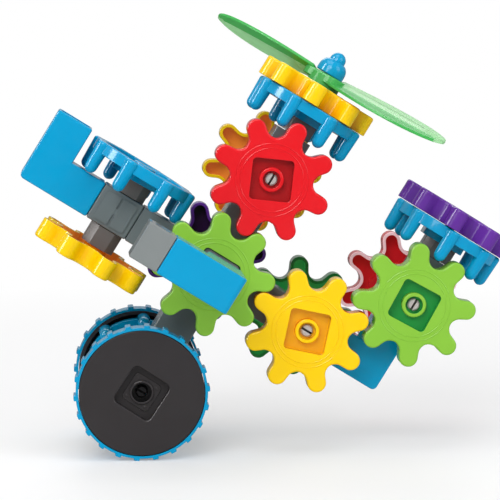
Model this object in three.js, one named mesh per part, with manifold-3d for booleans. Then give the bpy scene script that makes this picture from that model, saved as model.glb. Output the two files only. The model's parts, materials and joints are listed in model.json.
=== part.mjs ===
// Hand-cranked gear construction toy, built up as a small helicopter on two wheels.
// Millimetres, +Z up. The toy stands on its wheels, nose down by the tilt of the photographed pose.
// Square blocks and hubs make the frame; split studs on the hubs carry gears, crown gears and wheels.
// The crank turns four meshed gears, and two of them drive the crown gears under the rotor and nose.
import * as THREE from 'three';
import { mergeVertices } from 'three/addons/utils/BufferGeometryUtils.js';
import Module from 'manifold-3d';

const wasm = await Module();
wasm.setup();

// Driving dimensions

// Building grid
const BLOCK = 19; // side of every square block
const GEAR_CENTRES = Math.hypot(2 * BLOCK, 2 * BLOCK); // two blocks along and two up
const TILT = THREE.MathUtils.degToRad(31.7); // nose-down lean of the whole toy
const GAP = 0.3; // running and seating clearance between pieces
const WALL = 1.6; // wall of the moulded shells and sockets
const PLATE = 1.8; // closed face of the moulded shells
const BLOCK_EDGE = 1.1; // flat cut along the edges of a block
const OVERRUN = 1; // how far a cut runs past the face that it opens

// Block joints
const PLUG_LENGTH = 4.6; // square plug of a hub, inside the socket of its neighbour
const PIN_WIDTH_SHARE = 0.41; // square pin under a stud, share of the block
const PIN_LENGTH_SHARE = 0.225;
const SOCKET_DEPTH = 12; // socket at a free end

// Spur gears
const TEETH = 8;
const MODULE = GEAR_CENTRES / TEETH;
const ADDENDUM_SHARE = 0.525; // shares of the module
const DEDENDUM_SHARE = 0.979;
const TIP_ROUND_SHARE = 0.684;
const VALLEY_ROUND_SHARE = 0.729;
const GEAR_WIDTH = 10;
const RECESS_SLACK_SHARE = 0.9;
const RECESS_WIDTH = BLOCK + RECESS_SLACK_SHARE * BLOCK_EDGE; // square seat in the closed face
const RECESS_DEPTH = 5;
const BOSS_RADIUS = 6;
const BOSS_SINK = 1.5; // boss end below the closed face
const COUNTERBORE_RADIUS = 4.2;

// Studs
const NECK_WIDTH = 16.9;
const NECK_CHAMFER = 4.2;
const NECK_LENGTH = 10.1;
const REAR_SPACER = 10.1; // extra neck that carries the rear gears clear of the crown pegs
const SHAFT_RADIUS = 2.6;
const BARB_RADIUS = 3.5;
const BARB_LENGTH = 1.6;
const SLOT_WIDTH = 1.2;
const SLOT_DEPTH = 5.5;

// Crown gears
const CROWN_HEIGHT = 6.5;
const CROWN_WEB = 2;
const CROWN_RADIUS = 29.5;
const LOBE_RADIUS = 4.5;
const LOBE_RISE = 2.5; // lobe tip above the ring between two lobes
const CROWN_RIM = 4.6; // radial width of the ring
const PEG_RADIUS = 3;
const PEG_REACH = 10.3; // peg below the ring
const PEG_TIP = 1.3; // rounded end of a peg
const PEG_SET = 0.5; // peg set in from the tip of its lobe
const COLLAR_REACH = 2.5; // square collar below the ring
const COLLAR_WALL = 1.3;

// Wheels
const LEG_BLOCKS = 2; // blocks of the leg between two hubs
const LEG_SPARE_SHARE = 0.5; // last block of the leg, cut short
const WHEEL_DROP = (1 + LEG_BLOCKS + LEG_SPARE_SHARE) * BLOCK; // wheel axle below the crank hub
const WHEEL_RADIUS = 30.4;
const WHEEL_WIDTH = 10;
const TYRE_WALL = 1.2;
const NUB_HEIGHT = 1.1;
const NUB_WIDTH = 2;
const NUBS = 22;
const WHEEL_BOSS_RADIUS = 5.5;
const WHEEL_HOLE_RADIUS = 3.9;
const WHEEL_LEDGE = 2.5; // ledge that the barbs hold, deep in the hole of a wheel
const STEP_WIDTH = 14; // square step round the boss in the seat of a wheel
const STEP_HEIGHT = 1;

// Tail and nose
const TAIL_HUB_REACH = 12.3; // longer rear half of the tail hub
const RELIEF_LENGTH = 16.7;
const RELIEF_HEIGHT = 15.1;
const RELIEF_DEPTH = 0.8;
const RELIEF_RIB = 1.3;
const RELIEF_BREAK = 3.2;
const ELBOW_ROUND = 2.5;
const RISER_LENGTH = 14.1; // block between a hub and the stud on top of it

// Crank
const CRANK_POST = 13.5; // post above the closed face of its gear
const GRIP_LENGTH = BLOCK - PLUG_LENGTH;

// Propeller and cap
const BLADE_RADIUS = 78.6;
const BLADE_CHORD = 24;
const BLADE_ROOT = 13;
const BLADE_THICKNESS = 2;
const BLADE_PITCH = THREE.MathUtils.degToRad(17);
const BLADE_TURN = THREE.MathUtils.degToRad(42.3);
const BLADE_SHOULDER_SHARE = 0.86; // pull of the curved edges toward the tip
const PROP_HUB_RADIUS = 9.5;
const PROP_HUB_HEIGHT = 6.3;
const BLADE_HEIGHT_SHARE = 0.9; // middle of the blades on the hub
const CAP_RADIUS = 7.2;
const CAP_HEIGHT = 7.6;
const CAP_BALL = 4;
const CAP_BALL_RISE = 8.2; // ball centre above the foot of the cap
const CAP_PIN = 3.4;
const CAP_NECK_SHARE = 0.86; // neck under the ball, share of the ball
const CAP_FOOT_SHARE = 0.3; // upright rim of the cap, share of its height
const CAP_STEPS = 3;

// Turned positions of the gear trains
const REAR_TURN = THREE.MathUtils.degToRad(17); // rear train against the front one
const TAIL_CROWN_TURN = THREE.MathUtils.degToRad(28);
const TAIL_GEAR_TURN = THREE.MathUtils.degToRad(24);
const ROTOR_GEAR_TURN = THREE.MathUtils.degToRad(-8);
const WHEEL_TURN = THREE.MathUtils.degToRad(2.5);
const WHEEL_CROWN_TURN = THREE.MathUtils.degToRad(26);

// Facets
const CAP_SIDES = 12;
const ROUND_SIDES = 10;
const BORE_SIDES = 8;
const SHAFT_SIDES = 8;
const PEG_SIDES = 6;
const WHEEL_SIDES = 32;
const TIP_STEPS = 4;
const VALLEY_STEPS = 2;
const HOLLOW_TIP_STEPS = 2;
const LOBE_STEPS = 3;
const BLADE_STEPS = 3;

// Derived sizes

const HALF = BLOCK / 2;
const PITCH = (2 * Math.PI) / TEETH;
const PITCH_RADIUS = GEAR_CENTRES / 2;
const TIP_RADIUS = PITCH_RADIUS + MODULE * ADDENDUM_SHARE;
const ROOT_RADIUS = PITCH_RADIUS - MODULE * DEDENDUM_SHARE;
const TIP_ROUND = MODULE * TIP_ROUND_SHARE;
const VALLEY_ROUND = MODULE * VALLEY_ROUND_SHARE;
const PLUG_WIDTH = BLOCK - 2 * WALL - 2 * GAP;
const PIN_WIDTH = BLOCK * PIN_WIDTH_SHARE;
const PIN_LENGTH = BLOCK * PIN_LENGTH_SHARE;
const BORE_RADIUS = (SHAFT_RADIUS + GAP) / Math.cos(Math.PI / BORE_SIDES);
const SEAT_KEY = RECESS_WIDTH - 2 * GAP; // square foot that fits the seat of a gear
const NECK_END = HALF + GAP + NECK_LENGTH; // hub centre to the shoulder of a stud
const FRONT_SEAT = NECK_END + GAP; // hub centre to the inner face of a gear
const REAR_SEAT = FRONT_SEAT + REAR_SPACER;
const GEAR_LEDGE = GEAR_WIDTH - RECESS_DEPTH + GAP; // counterbore floor that the barbs hold
const RISER_END = HALF + GAP + RISER_LENGTH;
const TOP_SEAT = RISER_END + GAP + NECK_LENGTH + GAP;
const NECK_CORNER = Math.hypot(NECK_WIDTH / 2, NECK_WIDTH / 2 - NECK_CHAMFER);
const COLLAR_INSIDE = 2 * (NECK_CORNER + GAP);
const PEG_CIRCLE = CROWN_RADIUS - PEG_RADIUS - PEG_SET;

// Solids

function toSolid(geometry) {
  geometry.deleteAttribute('normal');
  geometry.deleteAttribute('uv');
  const merged = mergeVertices(geometry);
  const vertProperties = new Float32Array(merged.attributes.position.array);
  const triVerts = new Uint32Array(merged.index.array);
  return new wasm.Manifold(new wasm.Mesh({ numProp: 3, vertProperties, triVerts }));
}

function toGeometry(solid) {
  const mesh = solid.getMesh();
  const geometry = new THREE.BufferGeometry();
  geometry.setAttribute('position', new THREE.BufferAttribute(new Float32Array(mesh.vertProperties), 3));
  geometry.setIndex(new THREE.BufferAttribute(new Uint32Array(mesh.triVerts), 1));
  geometry.computeVertexNormals();
  return geometry;
}

// Straight body of an outline between two heights
function prism(outline, low, high) {
  const shape = new THREE.Shape(outline);
  const geometry = new THREE.ExtrudeGeometry(shape, { depth: high - low, bevelEnabled: false });
  geometry.translate(0, 0, low);
  return toSolid(geometry);
}

function circle(radius, sides, turn = 0) {
  const points = [];
  for (let i = 0; i < sides; i += 1) {
    const angle = turn + (2 * Math.PI * i) / sides;
    points.push(new THREE.Vector2(radius * Math.cos(angle), radius * Math.sin(angle)));
  }
  return points;
}

// Square with cut corners
function octagon(width, chamfer) {
  const side = width / 2;
  const near = side - chamfer;
  const points = [
    [side, near], [near, side], [-near, side], [-side, near],
    [-side, -near], [-near, -side], [near, -side], [side, -near],
  ];
  return points.map(([x, y]) => new THREE.Vector2(x, y));
}

function square(width) {
  const side = width / 2;
  const points = [[side, side], [-side, side], [-side, -side], [side, -side]];
  return points.map(([x, y]) => new THREE.Vector2(x, y));
}

function moved(solid, x, y, z) {
  return solid.translate([x, y, z]);
}

// Turns a body that stands on +z so that it stands on the given direction
function aimed(solid, direction) {
  const turn = new THREE.Quaternion();
  turn.setFromUnitVectors(new THREE.Vector3(0, 0, 1), direction);
  const matrix = new THREE.Matrix4().makeRotationFromQuaternion(turn);
  return solid.transform(matrix.elements);
}

const DIRECTIONS = {
  nose: new THREE.Vector3(1, 0, 0),
  tail: new THREE.Vector3(-1, 0, 0),
  top: new THREE.Vector3(0, 1, 0),
  bottom: new THREE.Vector3(0, -1, 0),
  front: new THREE.Vector3(0, 0, 1),
  rear: new THREE.Vector3(0, 0, -1),
};

// Toothed outline

function arcPoints(centre, radius, from, to, steps) {
  const points = [];
  for (let i = 0; i <= steps; i += 1) {
    const angle = from + ((to - from) * i) / steps;
    const x = centre.x + radius * Math.cos(angle);
    const y = centre.y + radius * Math.sin(angle);
    points.push(new THREE.Vector2(x, y));
  }
  return points;
}

// Round tips and round valleys joined by the straight flank that touches both; the first tooth is on +x.
// A wall of the shell is followed on its inside by the same outline drawn in by the inset.
function toothedOutline(inset, tipSteps, valleySteps) {
  const tipRound = TIP_ROUND - inset;
  const valleyRound = VALLEY_ROUND + inset;
  const tip = new THREE.Vector2(TIP_RADIUS - TIP_ROUND, 0);
  const valleyDistance = ROOT_RADIUS + VALLEY_ROUND;
  const halfPitch = PITCH / 2;
  const valley = new THREE.Vector2(valleyDistance, 0).rotateAround(new THREE.Vector2(), halfPitch);
  const across = valley.clone().sub(tip);
  const flank = across.angle() - Math.acos((tipRound + valleyRound) / across.length());
  const tooth = [
    ...arcPoints(tip, tipRound, -flank, flank, tipSteps),
    ...arcPoints(valley, valleyRound, flank + Math.PI, 2 * halfPitch + Math.PI - flank, valleySteps),
  ];
  const points = [];
  for (let i = 0; i < TEETH; i += 1) {
    const turn = i * PITCH;
    points.push(...tooth.map((point) => point.clone().rotateAround(new THREE.Vector2(), turn)));
  }
  return points;
}

const GEAR_MIDDLE = { boss: BOSS_RADIUS, hole: COUNTERBORE_RADIUS, ledge: GEAR_LEDGE };
const WHEEL_MIDDLE = { boss: WHEEL_BOSS_RADIUS, hole: WHEEL_HOLE_RADIUS, ledge: WHEEL_LEDGE };

// Square seat with a bored boss in the closed face of a shell that stands on z = 0
function withCentre(shell, width, turn, centre) {
  const floor = width - RECESS_DEPTH;
  const degrees = THREE.MathUtils.radToDeg(turn);
  const seat = prism(square(RECESS_WIDTH + 2 * WALL), floor - PLATE, width - PLATE / 2);
  const recess = prism(square(RECESS_WIDTH), floor, width + OVERRUN);
  const boss = prism(circle(centre.boss, ROUND_SIDES), 0, width - BOSS_SINK);
  const bore = prism(circle(BORE_RADIUS, BORE_SIDES), -OVERRUN, width + OVERRUN);
  const hole = prism(circle(centre.hole, BORE_SIDES), centre.ledge, width + OVERRUN);
  const seated = shell.add(seat.rotate([0, 0, degrees])).subtract(recess.rotate([0, 0, degrees]));
  return seated.add(boss).subtract(bore).subtract(hole);
}

// Moulded gear: toothed shell open toward its hub, square seat and boss in the closed face
function gearSolid() {
  const body = prism(toothedOutline(0, TIP_STEPS, VALLEY_STEPS), 0, GEAR_WIDTH);
  const hollow = prism(toothedOutline(WALL, HOLLOW_TIP_STEPS, VALLEY_STEPS), -OVERRUN, GEAR_WIDTH - PLATE);
  return withCentre(body.subtract(hollow), GEAR_WIDTH, PITCH / 2, GEAR_MIDDLE);
}

// Ring outline with a round lobe over every peg; the first lobe is on +x
function lobedOutline(ringRadius) {
  const lobeAt = CROWN_RADIUS - LOBE_RADIUS;
  const lobe = new THREE.Vector2(lobeAt, 0);
  const excess = ringRadius ** 2 - lobeAt ** 2 - LOBE_RADIUS ** 2;
  const spread = Math.acos(excess / (2 * lobeAt * LOBE_RADIUS));
  const points = [];
  for (let i = 0; i < TEETH; i += 1) {
    const turn = i * PITCH;
    const between = new THREE.Vector2(ringRadius, 0).rotateAround(new THREE.Vector2(), PITCH / 2);
    const cell = [...arcPoints(lobe, LOBE_RADIUS, -spread, spread, LOBE_STEPS), between];
    points.push(...cell.map((point) => point.clone().rotateAround(new THREE.Vector2(), turn)));
  }
  return points;
}

// Crown gear: lobed ring with a peg under every lobe, a thin web and a square collar round the neck
function crownSolid() {
  const ringRadius = CROWN_RADIUS - LOBE_RISE;
  const hollow = prism(circle(ringRadius - CROWN_RIM, 2 * TEETH), CROWN_WEB, CROWN_HEIGHT + OVERRUN);
  let body = prism(lobedOutline(ringRadius), 0, CROWN_HEIGHT).subtract(hollow);
  const peg = moved(pegSolid(), PEG_CIRCLE, 0, 0);
  for (let i = 0; i < TEETH; i += 1) {
    body = body.add(peg.rotate([0, 0, THREE.MathUtils.radToDeg(i * PITCH)]));
  }
  const collar = prism(square(COLLAR_INSIDE + 2 * COLLAR_WALL), -COLLAR_REACH, CROWN_WEB / 2);
  const throat = prism(square(COLLAR_INSIDE), -COLLAR_REACH - OVERRUN, 0);
  const boss = prism(circle(BOSS_RADIUS, BORE_SIDES), 0, CROWN_HEIGHT);
  const bore = prism(circle(BORE_RADIUS, BORE_SIDES), -OVERRUN, CROWN_HEIGHT + OVERRUN);
  return body.add(collar.subtract(throat)).add(boss).subtract(bore);
}

function pegSolid() {
  const profile = [
    new THREE.Vector2(0, -PEG_REACH),
    new THREE.Vector2(PEG_RADIUS - PEG_TIP, -PEG_REACH),
    new THREE.Vector2(PEG_RADIUS, -PEG_REACH + PEG_TIP),
    new THREE.Vector2(PEG_RADIUS, CROWN_WEB),
    new THREE.Vector2(0, CROWN_WEB),
  ];
  const geometry = new THREE.LatheGeometry(profile, PEG_SIDES);
  geometry.rotateX(Math.PI / 2);
  return toSolid(geometry);
}

// Frame pieces

// Square block on +z from z = 0, long edges cut
function blockSolid(length) {
  return prism(octagon(BLOCK, BLOCK_EDGE), 0, length);
}

function plugSolid() {
  return prism(square(PLUG_WIDTH), -OVERRUN, PLUG_LENGTH);
}

function socketCut(depth) {
  return prism(square(PLUG_WIDTH + 2 * GAP), -depth, OVERRUN);
}

function pinSocketCut() {
  return prism(square(PIN_WIDTH + 2 * GAP), -PIN_LENGTH - GAP, OVERRUN);
}

// Cube hub with a plug toward each block and a pin socket under each stud
function hubSolid(plugs, studs, reach = HALF) {
  let body = moved(blockSolid(BLOCK), 0, 0, -HALF);
  if (reach > HALF) {
    body = body.add(aimed(blockSolid(reach), DIRECTIONS.tail));
  }
  for (const side of plugs) {
    const face = side === 'tail' ? reach : HALF;
    const out = DIRECTIONS[side];
    body = body.add(moved(aimed(plugSolid(), out), out.x * face, out.y * face, out.z * face));
  }
  for (const side of studs) {
    const out = DIRECTIONS[side];
    const cut = aimed(pinSocketCut(), out);
    body = body.subtract(moved(cut, out.x * HALF, out.y * HALF, out.z * HALF));
  }
  return body;
}

// Block with a plug socket in both ends
function pillarSolid(length) {
  const far = moved(socketCut(PLUG_LENGTH + GAP), 0, 0, length);
  const near = socketCut(PLUG_LENGTH + GAP).mirror([0, 0, 1]);
  return blockSolid(length).subtract(far).subtract(near);
}

// Block with a plug socket below and a pin socket on top
function riserSolid() {
  const near = socketCut(PLUG_LENGTH + GAP).mirror([0, 0, 1]);
  const far = moved(pinSocketCut(), 0, 0, RISER_LENGTH);
  return blockSolid(RISER_LENGTH).subtract(near).subtract(far);
}

// Two-block elbow in the xy plane: foot along +x from x = 0, upright along +y at its far end
function elbowSolid(foot, upright, nearDepth, farDepth) {
  const inner = foot - BLOCK;
  const outline = [
    [0, -HALF], [foot - ELBOW_ROUND, -HALF], [foot, -HALF + ELBOW_ROUND],
    [foot, upright - HALF], [inner, upright - HALF], [inner, HALF], [0, HALF],
  ];
  const points = outline.map(([x, y]) => new THREE.Vector2(x, y));
  const shape = new THREE.Shape(points);
  const geometry = new THREE.ExtrudeGeometry(shape, {
    depth: BLOCK - 2 * BLOCK_EDGE,
    bevelThickness: BLOCK_EDGE,
    bevelSize: BLOCK_EDGE,
    bevelOffset: -BLOCK_EDGE,
    bevelSegments: 1,
  });
  geometry.translate(0, 0, BLOCK_EDGE - HALF);
  let body = toSolid(geometry);
  if (nearDepth > 0) {
    body = body.subtract(aimed(socketCut(nearDepth), DIRECTIONS.tail));
  }
  if (farDepth > 0) {
    const cut = aimed(socketCut(farDepth), DIRECTIONS.top);
    body = body.subtract(moved(cut, foot - HALF, upright - HALF, 0));
  }
  return body;
}

// Stud: square pin, eight-sided neck, round shaft with a split barbed end.
// reach is the height of the lowest ledge that the barbs hold, above the shoulder.
function studSolid(neck, reach, slotTurn = 0) {
  const pin = prism(square(PIN_WIDTH), -PIN_LENGTH, OVERRUN);
  const body = prism(octagon(NECK_WIDTH, NECK_CHAMFER), 0, neck);
  const shoulder = neck;
  const barb = shoulder + reach;
  const profile = [
    new THREE.Vector2(0, shoulder - OVERRUN),
    new THREE.Vector2(SHAFT_RADIUS, shoulder - OVERRUN),
    new THREE.Vector2(SHAFT_RADIUS, barb),
    new THREE.Vector2(BARB_RADIUS, barb),
    new THREE.Vector2(SHAFT_RADIUS, barb + BARB_LENGTH),
    new THREE.Vector2(0, barb + BARB_LENGTH),
  ];
  const lathe = new THREE.LatheGeometry(profile, SHAFT_SIDES);
  lathe.rotateX(Math.PI / 2);
  const shaft = toSolid(lathe);
  const slotBox = new THREE.BoxGeometry(2 * (BARB_RADIUS + OVERRUN), SLOT_WIDTH, SLOT_DEPTH + OVERRUN);
  slotBox.rotateZ(slotTurn);
  slotBox.translate(0, 0, barb + BARB_LENGTH + OVERRUN / 2 - SLOT_DEPTH / 2);
  return pin.add(body).add(shaft).subtract(toSolid(slotBox));
}

// Wheels

function wheelSolid() {
  const body = prism(circle(WHEEL_RADIUS, WHEEL_SIDES), 0, WHEEL_WIDTH);
  const hollow = prism(circle(WHEEL_RADIUS - WALL, WHEEL_SIDES / 2), -OVERRUN, WHEEL_WIDTH - PLATE);
  const disc = withCentre(body.subtract(hollow), WHEEL_WIDTH, 0, WHEEL_MIDDLE);
  const floor = WHEEL_WIDTH - RECESS_DEPTH;
  const step = prism(square(STEP_WIDTH), floor - PLATE / 2, floor + STEP_HEIGHT);
  return disc.add(step.subtract(prism(circle(WHEEL_HOLE_RADIUS, BORE_SIDES), 0, WHEEL_WIDTH)));
}

// Tyre with square nubs across its tread
function tyreSolid() {
  const bed = WHEEL_RADIUS + GAP + TYRE_WALL;
  const tread = bed + NUB_HEIGHT;
  const half = NUB_WIDTH / 2 / tread;
  const outline = [];
  for (let i = 0; i < NUBS; i += 1) {
    const angle = (2 * Math.PI * i) / NUBS;
    const corners = [[bed, -half], [tread, -half], [tread, half], [bed, half]];
    for (const [radius, offset] of corners) {
      const at = angle + offset;
      outline.push(new THREE.Vector2(radius * Math.cos(at), radius * Math.sin(at)));
    }
  }
  const body = prism(outline, 0, WHEEL_WIDTH);
  const inside = circle(WHEEL_RADIUS + GAP, WHEEL_SIDES);
  return body.subtract(prism(inside, -OVERRUN, WHEEL_WIDTH + OVERRUN));
}

// Crank

// Square foot keyed in the gear's seat, round clearance over its boss, eight-sided post
function crankPostSolid() {
  const foot = prism(square(SEAT_KEY), 0, RECESS_DEPTH - GAP);
  const post = prism(octagon(NECK_WIDTH, NECK_CHAMFER), 0, RECESS_DEPTH - GAP + CRANK_POST);
  const pin = prism(square(PIN_WIDTH), CRANK_POST, RECESS_DEPTH - GAP + CRANK_POST + PIN_LENGTH);
  const over = prism(circle(BOSS_RADIUS + GAP, ROUND_SIDES), -OVERRUN, RECESS_DEPTH);
  return foot.add(post).add(pin).subtract(over);
}

function crankElbowSolid() {
  const size = 2 * BLOCK;
  const body = elbowSolid(size, size, 0, PLUG_LENGTH + GAP);
  const cut = aimed(pinSocketCut(), DIRECTIONS.tail);
  return body.subtract(cut);
}

// Short block: plug on -z, open socket on +z
function gripSolid() {
  const plug = prism(square(PLUG_WIDTH), -PLUG_LENGTH, OVERRUN);
  const socket = moved(socketCut(SOCKET_DEPTH), 0, 0, GRIP_LENGTH);
  return blockSolid(GRIP_LENGTH).add(plug).subtract(socket);
}

// Propeller

// Leaf-shaped blade along +x, pitched about its own length
function bladeSolid() {
  const tipX = BLADE_RADIUS;
  const middle = tipX / 2;
  const shoulder = tipX * BLADE_SHOULDER_SHARE;
  const half = BLADE_CHORD / 2;
  const shape = new THREE.Shape();
  shape.moveTo(0, -BLADE_ROOT / 2);
  shape.quadraticCurveTo(tipX - shoulder, -half, middle, -half);
  shape.quadraticCurveTo(shoulder, -half, tipX, -BLADE_THICKNESS);
  shape.lineTo(tipX, BLADE_THICKNESS);
  shape.quadraticCurveTo(shoulder, half, middle, half);
  shape.quadraticCurveTo(tipX - shoulder, half, 0, BLADE_ROOT / 2);
  const geometry = new THREE.ExtrudeGeometry(shape, {
    depth: BLADE_THICKNESS,
    bevelEnabled: false,
    curveSegments: BLADE_STEPS,
  });
  geometry.translate(0, 0, -BLADE_THICKNESS / 2);
  geometry.rotateX(BLADE_PITCH);
  return toSolid(geometry);
}

// Two blades on a round hub whose square foot is keyed in the gear below; z = 0 is that gear's face
function propellerSolid(footTurn) {
  const middle = GAP + PROP_HUB_HEIGHT * BLADE_HEIGHT_SHARE;
  const hub = prism(circle(PROP_HUB_RADIUS, ROUND_SIDES), -OVERRUN, GAP + PROP_HUB_HEIGHT);
  const degrees = THREE.MathUtils.radToDeg(footTurn);
  const foot = prism(square(SEAT_KEY), -RECESS_DEPTH + GAP, 0).rotate([0, 0, degrees]);
  const over = prism(circle(BOSS_RADIUS + GAP, ROUND_SIDES), -RECESS_DEPTH - OVERRUN, 0);
  const bore = prism(circle(CAP_PIN + GAP, BORE_SIDES), -OVERRUN, PROP_HUB_HEIGHT + OVERRUN);
  const top = GAP + PROP_HUB_HEIGHT;
  const capRoom = prism(circle(CAP_RADIUS + 2 * GAP, ROUND_SIDES), top, top + CAP_HEIGHT);
  const blade = moved(bladeSolid(), 0, 0, middle).subtract(capRoom);
  const blades = blade.add(blade.rotate([0, 0, 180]));
  return hub.add(foot).add(blades).subtract(over).subtract(bore);
}

// Domed cap with a ball on top and a pin below; z = 0 is its foot
function capSolid() {
  const profile = [
    new THREE.Vector2(0, -PROP_HUB_HEIGHT / 2),
    new THREE.Vector2(CAP_PIN, -PROP_HUB_HEIGHT / 2),
    new THREE.Vector2(CAP_PIN, 0),
    new THREE.Vector2(CAP_RADIUS, 0),
  ];
  const neckRadius = CAP_BALL * CAP_NECK_SHARE;
  for (let i = 1; i <= CAP_STEPS; i += 1) {
    const angle = ((Math.PI / 2) * i) / (CAP_STEPS + 1);
    const radius = neckRadius + (CAP_RADIUS - neckRadius) * Math.cos(angle);
    const rise = CAP_FOOT_SHARE + (1 - CAP_FOOT_SHARE) * Math.sin(angle);
    profile.push(new THREE.Vector2(radius, CAP_HEIGHT * rise));
  }
  for (let i = 0; i <= CAP_STEPS; i += 1) {
    const angle = ((Math.PI / 2) * i) / CAP_STEPS;
    profile.push(new THREE.Vector2(CAP_BALL * Math.cos(angle), CAP_BALL_RISE + CAP_BALL * Math.sin(angle)));
  }
  const last = profile[profile.length - 1];
  last.x = 0;
  const geometry = new THREE.LatheGeometry(profile, CAP_SIDES);
  geometry.rotateX(Math.PI / 2);
  return toSolid(geometry);
}

// Assembly

const COLOURS = {
  blue: 0x00a0d2,
  green: 0x86c63e,
  red: 0xe81c25,
  yellow: 0xf8d60a,
  purple: 0x5e2f92,
  grey: 0x6e7576,
  paleGrey: 0x8c8f91,
  black: 0x3f3d3d,
  darkGreen: 0x1e7a35,
  clearGreen: 0x6ccc77,
};

const toy = new THREE.Group();
toy.rotation.set(Math.PI / 2, TILT, 0, 'YXZ');

// Inside the toy +x runs toward the nose, +y to its top and +z to its front.
// A mount stands on one side of a hub: its own +z points away from the hub.
const AXES = {
  front: [DIRECTIONS.nose, DIRECTIONS.top, DIRECTIONS.front],
  rear: [DIRECTIONS.tail, DIRECTIONS.top, DIRECTIONS.rear],
  top: [DIRECTIONS.front, DIRECTIONS.nose, DIRECTIONS.top],
  bottom: [DIRECTIONS.front, DIRECTIONS.tail, DIRECTIONS.bottom],
  nose: [DIRECTIONS.top, DIRECTIONS.front, DIRECTIONS.nose],
  tail: [DIRECTIONS.front, DIRECTIONS.top, DIRECTIONS.tail],
};

function station(x, y) {
  const group = new THREE.Group();
  group.position.set(x, y, 0);
  toy.add(group);
  return group;
}

function mount(hub, side) {
  const group = new THREE.Group();
  const matrix = new THREE.Matrix4().makeBasis(...AXES[side]);
  group.quaternion.setFromRotationMatrix(matrix);
  hub.add(group);
  return group;
}

function add(parent, name, geometry, colour, height = 0, turn = 0) {
  const material = new THREE.MeshStandardMaterial({ color: COLOURS[colour], roughness: 0.3, metalness: 0 });
  const mesh = new THREE.Mesh(geometry, material);
  mesh.name = name;
  mesh.position.z = height;
  mesh.rotation.z = turn;
  parent.add(mesh);
  return mesh;
}

// Turn of the next gear, whose tooth falls in a valley of this one on the line of their centres.
// One further tooth sets the square seats as they stand in the photographed pose.
function meshedTurn(turn, direction) {
  return 2 * direction + Math.PI - turn + PITCH / 2 + PITCH;
}

const gearShape = toGeometry(gearSolid());
const crownShape = toGeometry(crownSolid());
const wheelShape = toGeometry(wheelSolid());
const tyreShape = toGeometry(tyreSolid());
const pillarShape = toGeometry(pillarSolid(GEAR_CENTRES - BLOCK - 2 * GAP));

const onTop = Math.PI / 2;
const onNose = 0;
const frontTurns = { a: -PITCH / 2 };
frontTurns.b = meshedTurn(frontTurns.a, onTop);
frontTurns.c = meshedTurn(frontTurns.a, onNose);
frontTurns.d = meshedTurn(frontTurns.c, Math.PI / 4);

const rearTurns = { a: frontTurns.a + REAR_TURN };
rearTurns.b = meshedTurn(rearTurns.a, onTop);
rearTurns.c = meshedTurn(rearTurns.a, onNose);
rearTurns.d = meshedTurn(rearTurns.c, Math.PI / 4);

const hubs = {
  a: station(0, 0),
  b: station(0, GEAR_CENTRES),
  c: station(GEAR_CENTRES, 0),
  d: station(GEAR_CENTRES + 2 * BLOCK, 2 * BLOCK),
  tail: station(-GEAR_CENTRES, 0),
  wheel: station(0, -WHEEL_DROP),
};

// Frame of hubs and blocks
add(hubs.a, 'hub_a', toGeometry(hubSolid(['top', 'nose', 'tail', 'bottom'], ['front', 'rear'])), 'grey');
add(hubs.b, 'hub_b', toGeometry(hubSolid(['top', 'bottom'], ['front', 'rear'])), 'grey');
add(hubs.c, 'hub_c', toGeometry(hubSolid(['nose', 'tail'], ['front', 'rear'])), 'grey');
add(hubs.d, 'hub_d', toGeometry(hubSolid(['top', 'bottom'], ['front', 'rear'])), 'grey');
add(hubs.wheel, 'hub_wheel', toGeometry(hubSolid(['top'], ['front', 'rear'])), 'grey');

function tailHubSolid() {
  let body = hubSolid(['nose', 'tail'], ['top', 'bottom'], TAIL_HUB_REACH);
  const middle = (HALF - TAIL_HUB_REACH) / 2;
  const pane = new THREE.BoxGeometry(RELIEF_LENGTH, RELIEF_HEIGHT, 2 * RELIEF_DEPTH);
  const rib = new THREE.BoxGeometry(RELIEF_RIB, RELIEF_HEIGHT, 2 * RELIEF_DEPTH);
  const notch = new THREE.BoxGeometry(2 * RELIEF_RIB, RELIEF_BREAK, 2 * RELIEF_DEPTH);
  const relief = toSolid(pane).subtract(toSolid(rib).subtract(toSolid(notch)));
  for (const face of [-HALF, HALF]) {
    body = body.subtract(moved(relief, middle, 0, face));
  }
  return body;
}
add(hubs.tail, 'hub_tail', toGeometry(tailHubSolid()), 'grey');

const blockStart = HALF + GAP;
add(mount(hubs.a, 'top'), 'pillar_ab', pillarShape, 'grey', blockStart);
add(mount(hubs.a, 'nose'), 'pillar_ac', pillarShape, 'grey', blockStart);
add(mount(hubs.a, 'tail'), 'pillar_at', pillarShape, 'grey', blockStart);
const legShape = toGeometry(pillarSolid(WHEEL_DROP - BLOCK - 2 * GAP));
add(mount(hubs.a, 'bottom'), 'pillar_aw', legShape, 'grey', blockStart);

const riserShape = toGeometry(riserSolid());
add(mount(hubs.b, 'top'), 'riser_b', riserShape, 'grey', blockStart);
add(mount(hubs.d, 'top'), 'riser_d', riserShape, 'grey', blockStart);

const elbowReach = 2 * BLOCK;
const jointDepth = PLUG_LENGTH + GAP;
const noseElbow = elbowSolid(elbowReach - GAP, elbowReach - GAP, jointDepth, jointDepth);
const noseMesh = add(hubs.c, 'elbow_nose', toGeometry(noseElbow), 'blue');
noseMesh.position.x = blockStart;
const tailElbow = elbowSolid(elbowReach, elbowReach, jointDepth, SOCKET_DEPTH);
const tailMesh = add(hubs.tail, 'elbow_tail', toGeometry(tailElbow), 'blue');
tailMesh.position.x = -TAIL_HUB_REACH - GAP;
tailMesh.rotation.y = Math.PI;

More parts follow.
